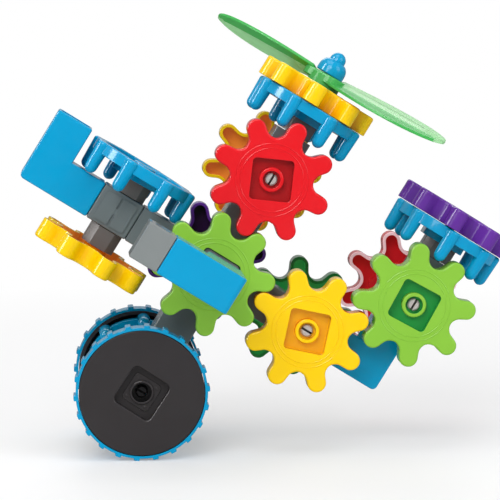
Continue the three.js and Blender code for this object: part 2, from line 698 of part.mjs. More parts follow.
// Studs: what each carries sets how far its barbs reach
const gearReach = GAP + GEAR_LEDGE + GAP;
const crownReach = GAP + CROWN_HEIGHT + GAP;
const wheelReach = crownReach + WHEEL_LEDGE + GAP;
const stackReach = GAP + CROWN_HEIGHT + GAP + GEAR_LEDGE + GAP;
const gearStud = toGeometry(studSolid(NECK_LENGTH, gearReach, onTop));
const gearStudFlat = toGeometry(studSolid(NECK_LENGTH, gearReach, 0));
const rearStud = toGeometry(studSolid(NECK_LENGTH + REAR_SPACER, gearReach));
const stackStud = toGeometry(studSolid(NECK_LENGTH, stackReach));
const crownStud = toGeometry(studSolid(NECK_LENGTH, crownReach));
const wheelStud = toGeometry(studSolid(NECK_LENGTH, wheelReach));
const backWheelStud = toGeometry(studSolid(NECK_LENGTH + REAR_SPACER, wheelReach));
for (const key of ['a', 'b', 'c', 'd']) {
  const shape = key === 'c' ? gearStudFlat : gearStud;
  add(mount(hubs[key], 'front'), `stud_front_${key}`, shape, 'grey', blockStart);
  add(mount(hubs[key], 'rear'), `stud_rear_${key}`, rearStud, 'grey', blockStart);
}
add(mount(hubs.b, 'top'), 'stud_top_b', stackStud, 'grey', RISER_END + GAP);
add(mount(hubs.d, 'top'), 'stud_top_d', stackStud, 'grey', RISER_END + GAP);
add(mount(hubs.tail, 'top'), 'stud_tail_top', crownStud, 'grey', blockStart);
add(mount(hubs.tail, 'bottom'), 'stud_tail_bottom', gearStud, 'grey', blockStart);
add(mount(hubs.wheel, 'front'), 'stud_wheel_front', wheelStud, 'grey', blockStart);
add(mount(hubs.wheel, 'rear'), 'stud_wheel_back', backWheelStud, 'grey', blockStart);

// Front gear train
const frontColours = { a: 'green', b: 'red', c: 'yellow', d: 'green' };
const rearColours = { a: 'purple', b: 'yellow', c: 'darkGreen', d: 'red' };
for (const key of ['a', 'b', 'c', 'd']) {
  const front = mount(hubs[key], 'front');
  const rear = mount(hubs[key], 'rear');
  add(front, `gear_front_${key}`, gearShape, frontColours[key], FRONT_SEAT, frontTurns[key]);
  add(rear, `gear_rear_${key}`, gearShape, rearColours[key], REAR_SEAT, -rearTurns[key]);
}

// Crank on the first gear
const crankFoot = FRONT_SEAT + GEAR_WIDTH - RECESS_DEPTH + GAP;
const crankTop = crankFoot + RECESS_DEPTH - GAP + CRANK_POST;
const crank = mount(hubs.a, 'front');
add(crank, 'crank_post', toGeometry(crankPostSolid()), 'paleGrey', crankFoot);
const crankArm = new THREE.Group();
crankArm.position.z = crankTop + GAP;
crankArm.quaternion.setFromRotationMatrix(
  new THREE.Matrix4().makeBasis(DIRECTIONS.front, DIRECTIONS.tail, DIRECTIONS.bottom),
);
crank.add(crankArm);
add(crankArm, 'crank_elbow', toGeometry(crankElbowSolid()), 'blue');
const grip = mount(crank, 'tail');
grip.position.z = crankTop + GAP + 2 * BLOCK - HALF;
add(grip, 'crank_grip', toGeometry(gripSolid()), 'paleGrey', 2 * BLOCK - HALF + GAP);

// Rotor and nose stacks
const gearOnCrown = TOP_SEAT + CROWN_HEIGHT + GAP;
const gearFace = gearOnCrown + GEAR_WIDTH;
const rotor = mount(hubs.b, 'top');
add(rotor, 'crown_rotor', crownShape, 'blue', TOP_SEAT, PITCH / 2);
add(rotor, 'gear_rotor', gearShape, 'yellow', gearOnCrown, ROTOR_GEAR_TURN);
const bladeTurn = Math.PI / 2 - BLADE_TURN;
const propeller = toGeometry(propellerSolid(PITCH / 2 + ROTOR_GEAR_TURN - bladeTurn));
add(rotor, 'propeller', propeller, 'clearGreen', gearFace, bladeTurn);
add(rotor, 'propeller_cap', toGeometry(capSolid()), 'blue', gearFace + GAP + PROP_HUB_HEIGHT + GAP);
const nose = mount(hubs.d, 'top');
add(nose, 'crown_nose', crownShape, 'blue', TOP_SEAT, 0);
add(nose, 'gear_nose', gearShape, 'purple', gearOnCrown, 0);

// Tail
add(mount(hubs.tail, 'top'), 'crown_tail', crownShape, 'blue', FRONT_SEAT, TAIL_CROWN_TURN);
add(mount(hubs.tail, 'bottom'), 'gear_tail', gearShape, 'yellow', FRONT_SEAT, -TAIL_GEAR_TURN);

// Wheels
const wheelOnCrown = CROWN_HEIGHT + GAP;
const wheels = [
  { label: 'front', side: 'front', seat: FRONT_SEAT },
  { label: 'back', side: 'rear', seat: REAR_SEAT },
];
for (const { label, side, seat } of wheels) {
  const axle = mount(hubs.wheel, side);
  add(axle, `wheel_crown_${label}`, crownShape, 'blue', seat, -WHEEL_CROWN_TURN);
  add(axle, `wheel_${label}`, wheelShape, 'black', seat + wheelOnCrown, WHEEL_TURN);
  add(axle, `tyre_${label}`, tyreShape, 'blue', seat + wheelOnCrown, WHEEL_TURN);
}

// The origin is under the middle of the toy, on the surface that its wheels stand on
const model = new THREE.Group();
model.add(toy);
model.updateMatrixWorld(true);
const box = new THREE.Box3().setFromObject(model, true);
const centre = box.getCenter(new THREE.Vector3());
toy.position.set(-centre.x, -centre.y, -box.min.z);

export default model;
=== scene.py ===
import json
import math

import bmesh
import bpy
from mathutils import Matrix, Vector


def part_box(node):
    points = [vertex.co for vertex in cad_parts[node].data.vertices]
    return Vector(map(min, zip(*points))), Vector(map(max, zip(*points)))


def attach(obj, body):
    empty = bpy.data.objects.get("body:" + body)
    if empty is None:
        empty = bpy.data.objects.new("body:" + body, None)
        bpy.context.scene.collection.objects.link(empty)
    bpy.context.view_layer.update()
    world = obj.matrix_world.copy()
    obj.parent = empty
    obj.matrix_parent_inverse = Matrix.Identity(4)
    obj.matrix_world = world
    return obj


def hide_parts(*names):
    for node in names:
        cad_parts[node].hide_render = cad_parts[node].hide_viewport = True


# A gear building toy put together as a small helicopter on two wheels, all of it glossy moulded plastic.
# Pieces are modelled in millimetres, each standing on z = 0 or round it, and then set in place in metres.

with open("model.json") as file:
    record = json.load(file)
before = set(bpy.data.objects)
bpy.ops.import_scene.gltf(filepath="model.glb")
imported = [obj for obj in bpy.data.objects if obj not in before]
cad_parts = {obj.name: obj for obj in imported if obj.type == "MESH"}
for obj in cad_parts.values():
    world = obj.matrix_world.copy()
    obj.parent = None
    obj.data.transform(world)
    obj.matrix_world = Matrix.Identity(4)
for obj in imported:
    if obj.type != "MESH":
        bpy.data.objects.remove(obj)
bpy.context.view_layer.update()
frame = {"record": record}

# Building grid
BLOCK = 19.0
HALF = BLOCK / 2
TEETH = 8
PITCH = 2 * math.pi / TEETH
CENTRES = math.hypot(2 * BLOCK, 2 * BLOCK)
TILT = math.radians(31.7)
GAP = 0.3
WALL = 1.6
PLATE = 1.8
MILLIMETRE = 0.001
# Sides of round bodies
PLAIN_SIDES = 64
SHAFT_SIDES = 48
LOBE_SIDES = 36
DOT_SIDES = 16
LINE_SIDES = 8
PROPELLER_SIDES = 72
RING_SIDES = 96
WHEEL_SIDES = 128

# How far a cut or a joined end runs past its face, and how far a search for edges runs past their place
OVERRUN = 1.0
MARGIN = 1.0
FINE_EDGE = 0.35
CORNER_ROUND = 0.5

# Tests for faces and edges: the least cosine of one that faces or runs along an axis, the tilt between
# level and upright, the play of a coordinate, the least angle of a sharp edge, the distance of double
# points and the greatest angle that is shaded smooth
ALONG = 0.9
LEVEL = 0.5
TOUCH = 0.01
SHARP = 1.0
MERGE = 0.004
SMOOTH_ANGLE = math.radians(38)

# Block joints
PLUG_LENGTH = 4.6
PLUG_WIDTH = BLOCK - 2 * WALL - 2 * GAP
PIN_WIDTH = 0.41 * BLOCK
PIN_LENGTH = 0.225 * BLOCK
SOCKET_DEPTH = 12.0
BLOCK_ROUND = 0.9
HUB_ROUND = 0.8
END_ROUND = 0.45

# Gears
MODULE = CENTRES / TEETH
TIP_RADIUS = CENTRES / 2 + 0.525 * MODULE
ROOT_RADIUS = CENTRES / 2 - 0.979 * MODULE
TIP_ROUND = 0.684 * MODULE
VALLEY_ROUND = 0.729 * MODULE
GEAR_WIDTH = 10.0
SEAT_WIDTH = BLOCK + 1.0
SEAT_DEPTH = 5.0
SEAT_ROUND = 1.9
BOSS_RADIUS = 6.05
BOSS_SINK = 1.5
BOSS_ROUND = 0.8
BOSS_LAP = 0.6
HOLE_RADIUS = 4.2
LEDGE = GEAR_WIDTH - SEAT_DEPTH + GAP
ARC_SHARE = 0.98
ROW_REACH = math.radians(2)
FACE_ROUND = 1.1
SEAT_EDGE = 0.4
SEAT_REACH = 15.0
FOOT_EDGE = 0.3
# The rim at the foot, painted pale as light through the wall: faces below this height that look down by more
# than this
FOOT_REACH = 0.35
FOOT_SLOPE = -0.3
LINE_RADII = (17.6, 15.4)
LINE_THICKNESS = 0.3
LINE_SINK = 0.12

# Studs
NECK_WIDTH = 16.9
NECK_CHAMFER = 4.2
NECK_LENGTH = 10.1
REAR_SPACER = 10.1
SHAFT_RADIUS = 2.55
BARB_RADIUS = 3.05
BARB_LENGTH = 1.6
BARB_FOOT = 0.1
BARB_CHEEK = 0.4
BARB_TAPER = 1.3
BARB_ROUND = 0.3
TOP_STUD_SINK = 0.4
AXLE_REACH = 2.5
SLOT_WIDTH = 1.1
SLOT_DEPTH = 5.5
FRONT_SEAT = HALF + GAP + NECK_LENGTH + GAP
REAR_SEAT = FRONT_SEAT + REAR_SPACER

# Crown gears
CROWN_HEIGHT = 6.5
CROWN_WEB = 2.0
CROWN_RADIUS = 29.8
CROWN_FOOT = 0.7
LOBE_RADIUS = 3.55
LOBE_ROUND = 1.4
LOBE_RISE = 2.6
CROWN_RIM = 4.6
PEG_RADIUS = 3.1
PEG_REACH = 10.3
COLLAR_REACH = 2.5
COLLAR_WIDTH = 19.2
COLLAR_WALL = 1.3
COLLAR_ROUND = 2.4
THROAT_ROUND = 1.4
CROWN_EDGE = 0.7
PEG_LAP = 0.4
LEAST_RADIUS = 0.4

# Wheels
WHEEL_DROP = 3.5 * BLOCK
WHEEL_RADIUS = 30.4
WHEEL_WIDTH = 10.0
TYRE_WALL = 1.2
NUB_HEIGHT = 1.1
NUBS = 22
NUB_SIDES = 16
NUB_SHARE = 0.13
NUB_SLOPE = 0.7
WHEEL_SEAT_WIDTH = 20.5
WHEEL_SEAT_ROUND = 2.6
WHEEL_SEAT_EDGE = 0.8
WHEEL_EDGE = 0.45
WHEEL_FACE_REACH = 20.0
WHEEL_BORE = 5.0
PLATEAU_WIDTH = 14.8
PLATEAU_RISE = 0.8
PLATEAU_ROUND = 2.2
DOT_RADIUS = 0.8
DOT_TOP_RADIUS = 0.5
DOT_PLACE = 5.3
DOT_RISE = 0.2
DOT_DOME = 0.2
AXLE_BOSS_RISE = 2.0
AXLE_BOSS_RADIUS = 6.0
AXLE_HOLE_RADIUS = 4.7
AXLE_LEDGE = 1.5

# Tail, risers and crank
TAIL_REACH = 12.3
PANEL_LENGTH = 16.7
PANEL_WIDTH = 15.1
PANEL_DEPTH = 0.8
PANEL_ROUND = 1.2
RIB_WIDTH = 1.3
RIB_LENGTH = 6.0
RIB_PLACE = 4.7
RISER_LENGTH = 14.1
RISER_END = HALF + GAP + RISER_LENGTH
TOP_SEAT = RISER_END + GAP + NECK_LENGTH + GAP
ELBOW_ROUND = 2.5
CRANK_POST = 13.5
POST_LAP = 0.5
GRIP_LENGTH = BLOCK - PLUG_LENGTH

# Propeller and cap
BLADE_RADIUS = 78.6
BLADE_CHORD = 24.0
BLADE_ROOT = 13.0
BLADE_ROWS = 28
BLADE_COLUMNS = 8
BLADE_WALL = 1.5
BLADE_SPINE = 0.9
BLADE_DEEP = 2.5
BLADE_WIDEST_SHARE = 0.55
BLADE_TIP_POWER = 2.4
BLADE_TIP_SQUARE = 0.004
BLADE_PITCH = math.radians(17)
BLADE_TURN = math.radians(42.3)
PROPELLER_HUB_RADIUS = 9.5
PROPELLER_HUB_HEIGHT = 6.3
PROPELLER_HUB_INSET = 1.0
PROPELLER_FOOT = 0.2
BLADE_START = 0.6 * PROPELLER_HUB_RADIUS
BLADE_LEVEL = 0.9 * PROPELLER_HUB_HEIGHT
BRIDGE_LENGTH = 2.6 * PROPELLER_HUB_RADIUS
BRIDGE_WIDTH = 15.0
BRIDGE_START = 2.2
BRIDGE_ROUND = 6.0
BRIDGE_EDGE = 0.6
CAP_RADIUS = 7.2
CAP_HEIGHT = 7.6
CAP_WALL_SHARE = 0.3
CAP_FOOT_EDGE = 0.4
CAP_NECK_SHARE = 0.86
CAP_LEAST_RADIUS = 0.3
CAP_BALL = 4.0
CAP_BALL_RISE = 8.2

# Light: the plastic's refraction, how near a wall has to be for the painted shade in hollows, the share of
# light that passes the propeller, and where the lamps point, in metres
PLASTIC_IOR = 1.52
PAINTED_SHADE_REACH = 0.012
SPREAD_SHARE = 0.42
LAMP_AIM = Vector((0, 0, 0.1))

# Turns of the trains and of the loose pieces about their own axes, as they stand in the photograph
REAR_LAG = math.radians(17)
FRONT_SLACK = {"b": math.radians(2.8), "c": math.radians(-3.0), "d": math.radians(3.0)}
ROTOR_TURN = math.radians(-8)
PROPELLER_LEAN = math.radians(1.4)
NOSE_CROWN_TURN = math.radians(-4)
NOSE_GEAR_TURN = math.radians(-9)
TAIL_CROWN_TURN = math.radians(28)
TAIL_GEAR_TURN = math.radians(-16)
WHEEL_CROWN_TURN = math.radians(-26)
DISC_TURN = math.radians(-1.5)
TYRE_TURN = math.radians(2.5)


# Parts of a moulding that differ in tone: its show side, the floor of its seat, its hollow, the rim of
# the hollow, and the sunk or thin parts. The seat, hollow and rim tones are painted shade and painted light.
ZONE_NAMES = ("outside", "seat", "hollow", "rim", "thin")
ZONES = {name: bpy.data.materials.new("zone_" + name) for name in ZONE_NAMES}


# Modelling

def zoned(piece, zone):
    piece.data.materials.clear()
    piece.data.materials.append(ZONES[zone])
    return piece


def select_only(piece):
    bpy.ops.object.select_all(action="DESELECT")
    piece.select_set(True)
    bpy.context.view_layer.objects.active = piece


def cylinder(radius, low, high, sides=PLAIN_SIDES):
    bpy.ops.object.select_all(action="DESELECT")
    middle = (0, 0, (low + high) / 2)
    bpy.ops.mesh.primitive_cylinder_add(vertices=sides, radius=radius, depth=high - low, location=middle)
    bpy.ops.object.transform_apply()
    return zoned(bpy.context.object, "outside")


def slab(width, depth, low, high, x=0.0, y=0.0):
    bpy.ops.object.select_all(action="DESELECT")
    middle = (x, y, (low + high) / 2)
    bpy.ops.mesh.primitive_cube_add(size=1, location=middle, scale=(width, depth, high - low))
    bpy.ops.object.transform_apply()
    return zoned(bpy.context.object, "outside")


def pick(piece, kind, test):
    """Opens the piece in edit mode with the faces or edges selected that pass the test."""
    select_only(piece)
    bpy.ops.object.mode_set(mode="EDIT")
    bpy.ops.mesh.select_all(action="DESELECT")
    bpy.context.tool_settings.mesh_select_mode = (False, kind == "EDGE", kind == "FACE")
    shape = bmesh.from_edit_mesh(piece.data)
    shape.normal_update()
    found = [item for item in (shape.edges if kind == "EDGE" else shape.faces) if test(item)]
    for item in found:
        item.select_set(True)
    shape.select_flush_mode()
    bmesh.update_edit_mesh(piece.data)
    return len(found)


def close():
    bpy.ops.object.mode_set(mode="OBJECT")


def extrude(distance):
    bpy.ops.mesh.extrude_region_move(TRANSFORM_OT_translate={"value": distance})


def middle_of(edge):
    return (edge.verts[0].co + edge.verts[1].co) / 2


def upright(edge):
    along = edge.verts[1].co - edge.verts[0].co
    return abs(along.z) > ALONG * along.length


def level_rim(edge, height):
    """Whether an edge lies at this height, between a flat face and a wall."""
    if any(abs(end.co.z - height) > TOUCH for end in edge.verts):
        return False
    tilts = sorted(abs(face.normal.z) for face in edge.link_faces)
    return len(tilts) == 2 and tilts[0] < LEVEL < tilts[1]


def within(edge, inner, outer):
    return inner <= middle_of(edge).xy.length <= outer


def rim(*heights, inner=0.0, outer=math.inf):
    """Test for the level rims at these heights, between two distances from the axis."""
    return lambda edge: any(level_rim(edge, height) for height in heights) and within(edge, inner, outer)


def corner(inner=0.0, outer=math.inf):
    """Test for the upright corners between two distances from the axis."""
    return lambda edge: upright(edge) and within(edge, inner, outer)


def sharp(edge):
    return edge.calc_face_angle() > SHARP


def round_edges(piece, radius, segments, test):
    if pick(piece, "EDGE", test):
        bpy.ops.mesh.bevel(offset=radius, offset_type="OFFSET", segments=segments, profile=0.5,
                           affect="EDGES", clamp_overlap=False)
    close()


def carve(piece, tool):
    """Takes the tool out of the piece, whose new walls get the tool's zone."""
    select_only(piece)
    cut = piece.modifiers.new("shape", "BOOLEAN")
    cut.operation = "DIFFERENCE"
    cut.solver = "EXACT"
    cut.material_mode = "TRANSFER"
    cut.object = tool
    bpy.ops.object.modifier_apply(modifier=cut.name)
    bpy.data.objects.remove(tool)


def join(piece, *others):
    select_only(piece)
    for other in others:
        other.select_set(True)
    bpy.ops.object.join()
    return piece


def twin(piece, matrix):
    """A copy with its own mesh, moved by the matrix."""
    copy = bpy.data.objects.new(piece.name, piece.data.copy())
    copy.data.transform(matrix)
    bpy.context.scene.collection.objects.link(copy)
    return copy


def turned(profile, sides=SHAFT_SIDES):
    """A round body drawn upwards ring by ring through (radius, height) points."""
    (radius, low), (next_radius, high) = profile[:2]
    piece = cylinder(radius, low, high, sides)
    pick(piece, "FACE", lambda face: face.normal.z > ALONG)
    scale = next_radius / radius
    bpy.ops.transform.resize(value=(scale, scale, 1), center_override=(0, 0, 0))
    for (radius, low), (next_radius, high) in zip(profile[1:], profile[2:]):
        extrude((0, 0, high - low))
        scale = next_radius / radius
        bpy.ops.transform.resize(value=(scale, scale, 1), center_override=(0, 0, 0))
    close()
    return piece


def finish_shape(piece):
    """Merged, outward and smoothly shaded, with the flat faces kept flat."""
    select_only(piece)
    bpy.ops.object.mode_set(mode="EDIT")
    bpy.ops.mesh.select_all(action="SELECT")
    bpy.ops.mesh.remove_doubles(threshold=MERGE)
    bpy.ops.mesh.normals_make_consistent(inside=False)
    close()
    bpy.ops.object.shade_smooth_by_angle(angle=SMOOTH_ANGLE)
    weights = piece.modifiers.new("flat faces", "WEIGHTED_NORMAL")
    weights.keep_sharp = True
    bpy.ops.object.modifier_apply(modifier=weights.name)
    return piece


def about_z(angle):
    return Matrix.Rotation(angle, 4, "Z")


def shifted(x, y, z):
    return Matrix.Translation((x, y, z))


def axes_matrix(axes, scale=1.0, origin=(0, 0, 0)):
    """The matrix whose columns are these axes, scaled, with its own origin."""
    matrix = Matrix.Identity(4)
    for column, axis in enumerate(axes):
        for line in range(3):
            matrix[line][column] = axis[line] * scale
    matrix.translation = origin
    return matrix


SIDE_AXES = {
    "nose": Vector((1, 0, 0)), "tail": Vector((-1, 0, 0)), "top": Vector((0, 1, 0)),
    "bottom": Vector((0, -1, 0)), "front": Vector((0, 0, 1)), "rear": Vector((0, 0, -1)),
}


def toward(side):
    """Turns a body that stands on +z onto another side of a block."""
    return Vector((0, 0, 1)).rotation_difference(SIDE_AXES[side]).to_matrix().to_4x4()


# Gears

def tooth_row(piece, slot, angle, scale):
    """Moves one upright corner of every tooth to its place on the outline."""
    def in_row(edge):
        if not upright(edge):
            return False
        middle = middle_of(edge)
        return abs(math.atan2(middle.y, middle.x) % PITCH - slot) < ROW_REACH
    pick(piece, "EDGE", in_row)
    bpy.ops.transform.resize(value=(scale, scale, 1), center_override=(0, 0, 0))
    bpy.ops.transform.rotate(value=slot - angle, orient_axis="Z", center_override=(0, 0, 0))
    close()


def toothed_disc(low, high, inset=0.0):
    """Eight round teeth and round valleys, from a cylinder with four corners for each tooth."""
    eighth = PITCH / 8
    root = ROOT_RADIUS - inset
    tip = TIP_RADIUS - inset
    tip_round = TIP_ROUND - inset
    valley_round = VALLEY_ROUND + inset
    piece = cylinder(root, low, high, 4 * TEETH)
    piece.data.transform(about_z(eighth))
    tip_centre = tip - tip_round
    valley_centre = root + valley_round
    across = Vector((valley_centre * math.cos(PITCH / 2) - tip_centre, valley_centre * math.sin(PITCH / 2)))
    lean = math.acos((tip_round + valley_round) / across.length)
    flank = math.atan2(across.y, across.x) - lean
    tip_corner = tip_round * math.tan(flank / 2)
    valley_corner = valley_round * math.tan((flank - PITCH / 2) / 2)
    tip_angle = math.atan2(tip_corner, tip)
    tip_radius = math.hypot(tip_corner, tip)
    valley_angle = math.atan2(valley_corner, root)
    valley_radius = math.hypot(valley_corner, root)
    rows = [
        (eighth, tip_angle, tip_radius),
        (3 * eighth, PITCH / 2 - valley_angle, valley_radius),
        (5 * eighth, PITCH / 2 + valley_angle, valley_radius),
        (7 * eighth, PITCH - tip_angle, tip_radius),
    ]
    for slot, angle, radius in rows:
        tooth_row(piece, slot, angle, radius / root)
    round_edges(piece, tip_corner * ARC_SHARE, 8, corner(inner=CENTRES / 2 - inset))
    round_edges(piece, valley_corner * ARC_SHARE, 6, corner(outer=root + MARGIN))
    return piece


def seat_cut(low, corner_round, turn, width=SEAT_WIDTH):
    cut = slab(width, width, low, GEAR_WIDTH + OVERRUN)
    round_edges(cut, corner_round, 5, upright)
    cut.data.transform(about_z(turn))
    return zoned(cut, "seat")


def seat_cup(corner_round, turn, bore, width=SEAT_WIDTH):
    """Square cup below a closed face, with its bored floor."""
    floor = GEAR_WIDTH - SEAT_DEPTH
    cup = slab(width + 2 * WALL, width + 2 * WALL, floor - PLATE, GEAR_WIDTH - PLATE / 2)
    round_edges(cup, corner_round + WALL, 5, upright)
    cup.data.transform(about_z(turn))
    zoned(cup, "hollow")
    carve(cup, seat_cut(floor, corner_round, turn, width))
    carve(cup, cylinder(bore, -OVERRUN, GEAR_WIDTH))
    return cup


def mark_painted_rim_light(piece):
    """Sets the open rim at the foot of a moulding apart from its walls, for a tone painted pale as light
    through the wall.
    """
    piece.data.materials.append(ZONES["rim"])
    last = len(piece.data.materials) - 1
    for polygon in piece.data.polygons:
        if polygon.center.z < FOOT_REACH and polygon.normal.z < FOOT_SLOPE:
            polygon.material_index = last


def gear():
    """Moulded gear: shell open below, square seat with a bored boss in its closed face."""
    piece = toothed_disc(0, GEAR_WIDTH)
    # The walls of the hollow and of the seat take their own zones, which the finishes paint as shade and
    # light
    carve(piece, zoned(toothed_disc(-OVERRUN, GEAR_WIDTH - PLATE, WALL), "hollow"))
    carve(piece, seat_cut(0, SEAT_ROUND, PITCH / 2))
    round_edges(piece, FACE_ROUND, 4, rim(GEAR_WIDTH, inner=ROOT_RADIUS - MARGIN))
    round_edges(piece, SEAT_EDGE, 2, rim(GEAR_WIDTH, outer=SEAT_REACH))
    round_edges(piece, FOOT_EDGE, 2, rim(0))
    # The rim faces take their own zone, which the red and yellow finishes paint pale as light through the
    # wall
    mark_painted_rim_light(piece)
    parts = [
        seat_cup(SEAT_ROUND, PITCH / 2, BOSS_RADIUS - BOSS_LAP),
        # the bore of the boss takes the seat zone, painted deeper as shade
        boss(GEAR_WIDTH - BOSS_SINK, BOSS_RADIUS, HOLE_RADIUS, LEDGE, "seat"),
    ]
    for radius in LINE_RADII:
        parts.append(ring_line(radius, GEAR_WIDTH))
    return finish_shape(join(piece, *parts))


def boss(height, radius, hole, ledge, inside="outside"):
    """Bored boss with a wider mouth, its upper rim softly rounded."""
    piece = cylinder(radius, 0, height)
    round_edges(piece, BOSS_ROUND, 4, rim(height))
    carve(piece, cylinder(SHAFT_RADIUS + GAP, -OVERRUN, height + OVERRUN, SHAFT_SIDES))
    carve(piece, zoned(cylinder(hole, ledge, height + OVERRUN, SHAFT_SIDES), inside))
    round_edges(piece, FINE_EDGE, 2, rim(height, outer=hole + GAP))
    return piece


def ring_line(radius, height):
    """Fine raised line on a closed face."""
    bpy.ops.object.select_all(action="DESELECT")
    bpy.ops.mesh.primitive_torus_add(major_radius=radius, minor_radius=LINE_THICKNESS,
                                     major_segments=RING_SIDES, minor_segments=LINE_SIDES,
                                     location=(0, 0, height - LINE_SINK))
    bpy.ops.object.transform_apply()
    return zoned(bpy.context.object, "outside")


# Crown gears

def crown_peg():
    """Round finger that stands out from the ring and runs down into a peg with a round end."""
    steps = 6
    profile = []
    for step in range(steps, -1, -1):
        angle = math.pi / 2 * step / steps
        radius = max(PEG_RADIUS * math.cos(angle), LEAST_RADIUS)
        profile.append((radius, -PEG_REACH + PEG_RADIUS * (1 - math.sin(angle))))
    for step in range(steps + 1):
        angle = math.pi / 2 * step / steps
        radius = LOBE_RADIUS - LOBE_ROUND * (1 - math.cos(angle))
        profile.append((radius, CROWN_HEIGHT - LOBE_ROUND * (1 - math.sin(angle))))
    finger = turned(profile, LOBE_SIDES)
    finger.data.transform(shifted(CROWN_RADIUS - LOBE_RADIUS, 0, 0))
    inside_radius = CROWN_RADIUS - LOBE_RISE - CROWN_RIM + PEG_LAP
    inside = cylinder(inside_radius, CROWN_WEB, CROWN_HEIGHT + OVERRUN, RING_SIDES)
    carve(finger, inside)
    return finger


def crown():
    """Ring of eight round lobes, each with a long round-ended peg below it."""
    ring = CROWN_RADIUS - LOBE_RISE
    piece = cylinder(ring, CROWN_FOOT, CROWN_HEIGHT, RING_SIDES)
    carve(piece, cylinder(ring - CROWN_RIM, CROWN_WEB, CROWN_HEIGHT + OVERRUN, RING_SIDES))
    carve(piece, cylinder(BOSS_RADIUS - BOSS_LAP, -OVERRUN, CROWN_HEIGHT + OVERRUN))
    round_edges(piece, CROWN_EDGE, 3, rim(CROWN_HEIGHT))
    round_edges(piece, CORNER_ROUND, 2, rim(CROWN_FOOT, inner=ring - MARGIN))
    peg = crown_peg()
    pegs = [twin(peg, about_z(index * PITCH)) for index in range(1, TEETH)]
    collar_width = COLLAR_WIDTH + 2 * COLLAR_WALL
    collar = slab(collar_width, collar_width, -COLLAR_REACH, CROWN_WEB / 2)
    round_edges(collar, COLLAR_ROUND, 4, upright)
    throat = slab(COLLAR_WIDTH, COLLAR_WIDTH, -COLLAR_REACH - OVERRUN, CROWN_WEB)
    round_edges(throat, THROAT_ROUND, 3, upright)
    carve(collar, throat)
    round_edges(collar, FINE_EDGE, 2, rim(-COLLAR_REACH))
    middle = boss(CROWN_HEIGHT, BOSS_RADIUS, SHAFT_RADIUS + GAP, CROWN_HEIGHT - MARGIN)
    return finish_shape(join(piece, peg, *pegs, collar, middle))


# Wheels

def dot(floor, turn):
    """Small round-topped pip near one corner of a raised floor."""
    top = floor + PLATEAU_RISE + DOT_RISE
    profile = [(DOT_RADIUS, floor), (DOT_RADIUS, top), (DOT_TOP_RADIUS, top + DOT_DOME)]
    piece = turned(profile, DOT_SIDES)
    piece.data.transform(about_z(turn) @ shifted(DOT_PLACE, DOT_PLACE, 0))
    return piece


def wheel():
    """Flat disc, hollow behind, with a raised floor, four dots and a bored boss in its square seat."""
    floor = GEAR_WIDTH - SEAT_DEPTH
    piece = cylinder(WHEEL_RADIUS, 0, WHEEL_WIDTH, WHEEL_SIDES)
    inside = cylinder(WHEEL_RADIUS - WALL, -OVERRUN, WHEEL_WIDTH - PLATE, WHEEL_SIDES)
    # The hollow behind takes the hollow zone, which the charcoal finish paints black as shade
    carve(piece, zoned(inside, "hollow"))
    carve(piece, seat_cut(0, WHEEL_SEAT_ROUND, 0, WHEEL_SEAT_WIDTH))
    round_edges(piece, WHEEL_EDGE, 2, rim(WHEEL_WIDTH, inner=WHEEL_FACE_REACH))
    round_edges(piece, WHEEL_SEAT_EDGE, 4, rim(WHEEL_WIDTH, outer=SEAT_REACH))
    cup = seat_cup(WHEEL_SEAT_ROUND, 0, WHEEL_BORE, WHEEL_SEAT_WIDTH)
    plateau = slab(PLATEAU_WIDTH, PLATEAU_WIDTH, floor - PLATE / 2, floor + PLATEAU_RISE)
    round_edges(plateau, PLATEAU_ROUND, 5, upright)
    round_edges(plateau, SEAT_EDGE, 2, rim(floor + PLATEAU_RISE))
    carve(plateau, cylinder(WHEEL_BORE, -OVERRUN, GEAR_WIDTH))
    dots = [dot(floor, turn * math.pi / 2) for turn in range(4)]
    # The bore of the boss takes the hollow zone as well, painted black as shade
    middle = boss(floor + AXLE_BOSS_RISE, AXLE_BOSS_RADIUS, AXLE_HOLE_RADIUS, AXLE_LEDGE, "hollow")
    return finish_shape(join(piece, cup, plateau, middle, *dots))


def tyre():
    """Thin band whose nubs cross the tread and show at both of its edges."""
    bed = WHEEL_RADIUS + GAP + TYRE_WALL
    sides = NUB_SIDES * NUBS
    piece = cylinder(bed, 0, WHEEL_WIDTH, sides)
    piece.data.transform(about_z(math.pi / sides))

    def under_nub(face):
        if abs(face.normal.z) > LEVEL:
            return False
        place = face.calc_center_median()
        share = (math.atan2(place.y, place.x) / (2 * math.pi) * NUBS) % 1
        return min(share, 1 - share) < NUB_SHARE
    pick(piece, "FACE", under_nub)
    extrude((0, 0, 0))
    scale = (bed + NUB_HEIGHT) / bed
    bpy.ops.transform.resize(value=(scale, scale, 1), center_override=(0, 0, 0))
    close()
    carve(piece, cylinder(WHEEL_RADIUS + GAP, -OVERRUN, WHEEL_WIDTH + OVERRUN, WHEEL_SIDES))

    def nub_corner(edge):
        return corner(inner=bed + NUB_HEIGHT / 2)(edge) and edge.calc_face_angle() > NUB_SLOPE
    round_edges(piece, CORNER_ROUND, 3, nub_corner)
    round_edges(piece, FINE_EDGE, 2, rim(0, WHEEL_WIDTH, inner=bed - TYRE_WALL / 3))
    return finish_shape(piece)


# Frame blocks

def soft_block(length):
    """Square bar along z with rounded long edges and lightly broken ends."""
    piece = slab(BLOCK, BLOCK, 0, length)
    round_edges(piece, BLOCK_ROUND, 4, upright)
    round_edges(piece, END_ROUND, 2, rim(0, length))
    return piece


def socket(piece, depth, matrix):
    cut = slab(PLUG_WIDTH + 2 * GAP, PLUG_WIDTH + 2 * GAP, -depth, OVERRUN)
    round_edges(cut, CORNER_ROUND, 2, upright)
    cut.data.transform(matrix)
    carve(piece, cut)


